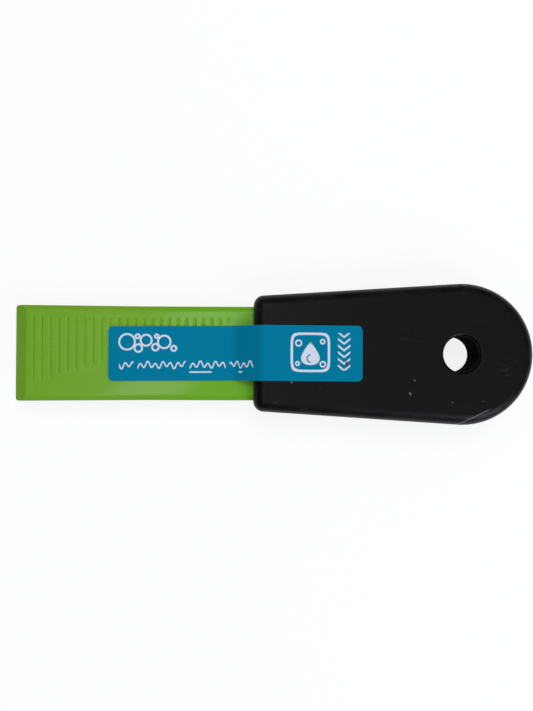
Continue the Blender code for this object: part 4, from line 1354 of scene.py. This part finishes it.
def make_floor(stage):
    """A pale floor that shows plain white to the camera, less a share of the object's shadow."""
    ends = np.array((-1, 1)) * stage.floor_size / 2
    x, y = np.meshgrid(ends, ends, indexing="ij")
    corners = np.stack([x, y, np.full_like(x, -stage.floor_drop)], axis=-1)
    points, faces = sheet(corners, round_columns=False)
    mesh = bpy.data.meshes.new("floor")
    mesh.from_pydata(points, [], faces)
    floor = bpy.data.objects.new("floor", mesh)
    bpy.context.scene.collection.objects.link(floor)
    look = Look("white floor")
    matte = look.node("ShaderNodeBsdfDiffuse", sockets={"Color": FLOOR_COLOUR})
    white = look.node("ShaderNodeEmission", sockets={"Color": PLAIN, "Strength": 1.0})
    straight, _ = look.rays()
    x, y, _ = look.split(look.position)
    near = (x ** 2.0 + y ** 2.0).root().between(*SHADOW_REACH)
    sockets = {0: straight * (1.0 - near * stage.shade), 1: matte.outputs[0], 2: white.outputs[0]}
    blend = look.node("ShaderNodeMixShader", sockets=sockets)
    look.fill(look.tree.nodes["Material Output"].inputs["Surface"], blend.outputs[0])
    look.tree.nodes.remove(look.shader)
    mesh.materials.append(look.material)
    return floor


def make_sky(scene, stage):
    """An even light from all round, seen as plain white. In gloss, only the sky overhead shows."""
    world = bpy.data.worlds.new("sky")
    world.use_nodes = True
    scene.world = world
    nodes = Nodes(world.node_tree)
    _, _, up = nodes.split(nodes.node("ShaderNodeTexCoord").outputs["Generated"])
    straight, gloss = nodes.rays()

    def light(strength):
        sockets = {"Color": PLAIN, "Strength": strength}
        return nodes.node("ShaderNodeBackground", sockets=sockets).outputs[0]

    blend = light(stage.sky)
    for mask, strength in ((gloss * up.between(*OVERHEAD), 0.0), (straight, 1.0)):
        sockets = {0: mask, 1: blend, 2: light(strength)}
        blend = nodes.node("ShaderNodeMixShader", sockets=sockets).outputs[0]
    nodes.fill(nodes.tree.nodes["World Output"].inputs["Surface"], blend)


# Each lamp has its distance from the tool, the angle round the tool from +X, the angle above the
# floor, its size, the setting for its power, its tint, and whether it shows in gloss. The panel
# hangs level, turned by so many degrees, and the others, with None, are aimed at the tool.
LAMPS = {
    "main lamp": (1.1, 75, 60, (0.6, 0.6), "main_power", PLAIN, False, None),
    "fill lamp": (1.0, -46, 35, (0.25, 0.6), "fill_power", COOL, True, None),
    "overhead panel": (0.91, 172, 80.8, (0.106, 0.6), "panel_power", PLAIN, True, 144),
}


def make_lamps(scene, stage):
    """A large lamp at the left, a cool one low at the right rear, and a long panel overhead."""
    for name, (distant, around, above, size, power, tint, in_gloss, level) in LAMPS.items():
        light = bpy.data.lights.new(name, "AREA")
        light.shape = "RECTANGLE"
        light.size, light.size_y = size
        light.energy = getattr(stage, power)
        light.color = tint
        lamp = bpy.data.objects.new(name, light)
        around, above = math.radians(around), math.radians(above)
        reach = math.cos(above)
        towards = Vector((reach * math.cos(around), reach * math.sin(around), math.sin(above)))
        lamp.location = towards * distant
        if level is None:
            lamp.rotation_euler = (-towards).to_track_quat("-Z", "Y").to_euler()
        else:
            lamp.rotation_euler.z = math.radians(level)
        lamp.visible_glossy = in_gloss
        scene.collection.objects.link(lamp)


def make_camera(scene, stage):
    """A camera that looks almost straight down, as the photograph does."""
    camera = bpy.data.cameras.new("camera")
    camera.lens = stage.lens
    camera.clip_start = 0.01
    obj = bpy.data.objects.new("camera", camera)
    obj.rotation_mode = "ZXY"
    obj.location = stage.camera_place
    obj.rotation_euler = stage.camera_turn
    scene.collection.objects.link(obj)
    scene.camera = obj


STEPS = ("blade", "shells", "label", "screws", "springs", "strip", "stage")
GROUPS = {
    "scraper_blade": ScraperBladeSettings,
    "scraper_handle": ScraperHandleSettings,
    "scraper_label": ScraperLabelSettings,
    "scraper_metal": ScraperMetalSettings,
    "scraper_stage": ScraperStageSettings,
}


class SCRAPER_PT_panel(Panel):
    """Lists the steps and their settings"""

    bl_label = "Hand Scraper"
    bl_idname = "SCRAPER_PT_panel"
    bl_space_type = "VIEW_3D"
    bl_region_type = "UI"
    bl_category = "Scraper"

    def draw(self, context):
        for step in STEPS:
            self.layout.operator(f"scraper.{step}")
        for name, group in GROUPS.items():
            box = self.layout.box()
            box.label(text=group.bl_rna.name)
            for entry in group.__annotations__:
                box.prop(getattr(context.scene, name), entry)


CLASSES = (
    *GROUPS.values(),
    SCRAPER_OT_blade,
    SCRAPER_OT_shells,
    SCRAPER_OT_label,
    SCRAPER_OT_screws,
    SCRAPER_OT_springs,
    SCRAPER_OT_strip,
    SCRAPER_OT_stage,
    SCRAPER_PT_panel,
)


def register():
    """Registers the classes and gives the scene its settings."""
    for cls in CLASSES:
        bpy.utils.register_class(cls)
    for name, group in GROUPS.items():
        setattr(bpy.types.Scene, name, PointerProperty(type=group))


def unregister():
    """Takes away what register() adds."""
    for name in GROUPS:
        delattr(bpy.types.Scene, name)
    for cls in reversed(CLASSES):
        bpy.utils.unregister_class(cls)


def main():
    """Makes every piece and the stage in turn."""
    register()
    for step in STEPS:
        getattr(bpy.ops.scraper, step)()


if __name__ == "__main__":
    main()
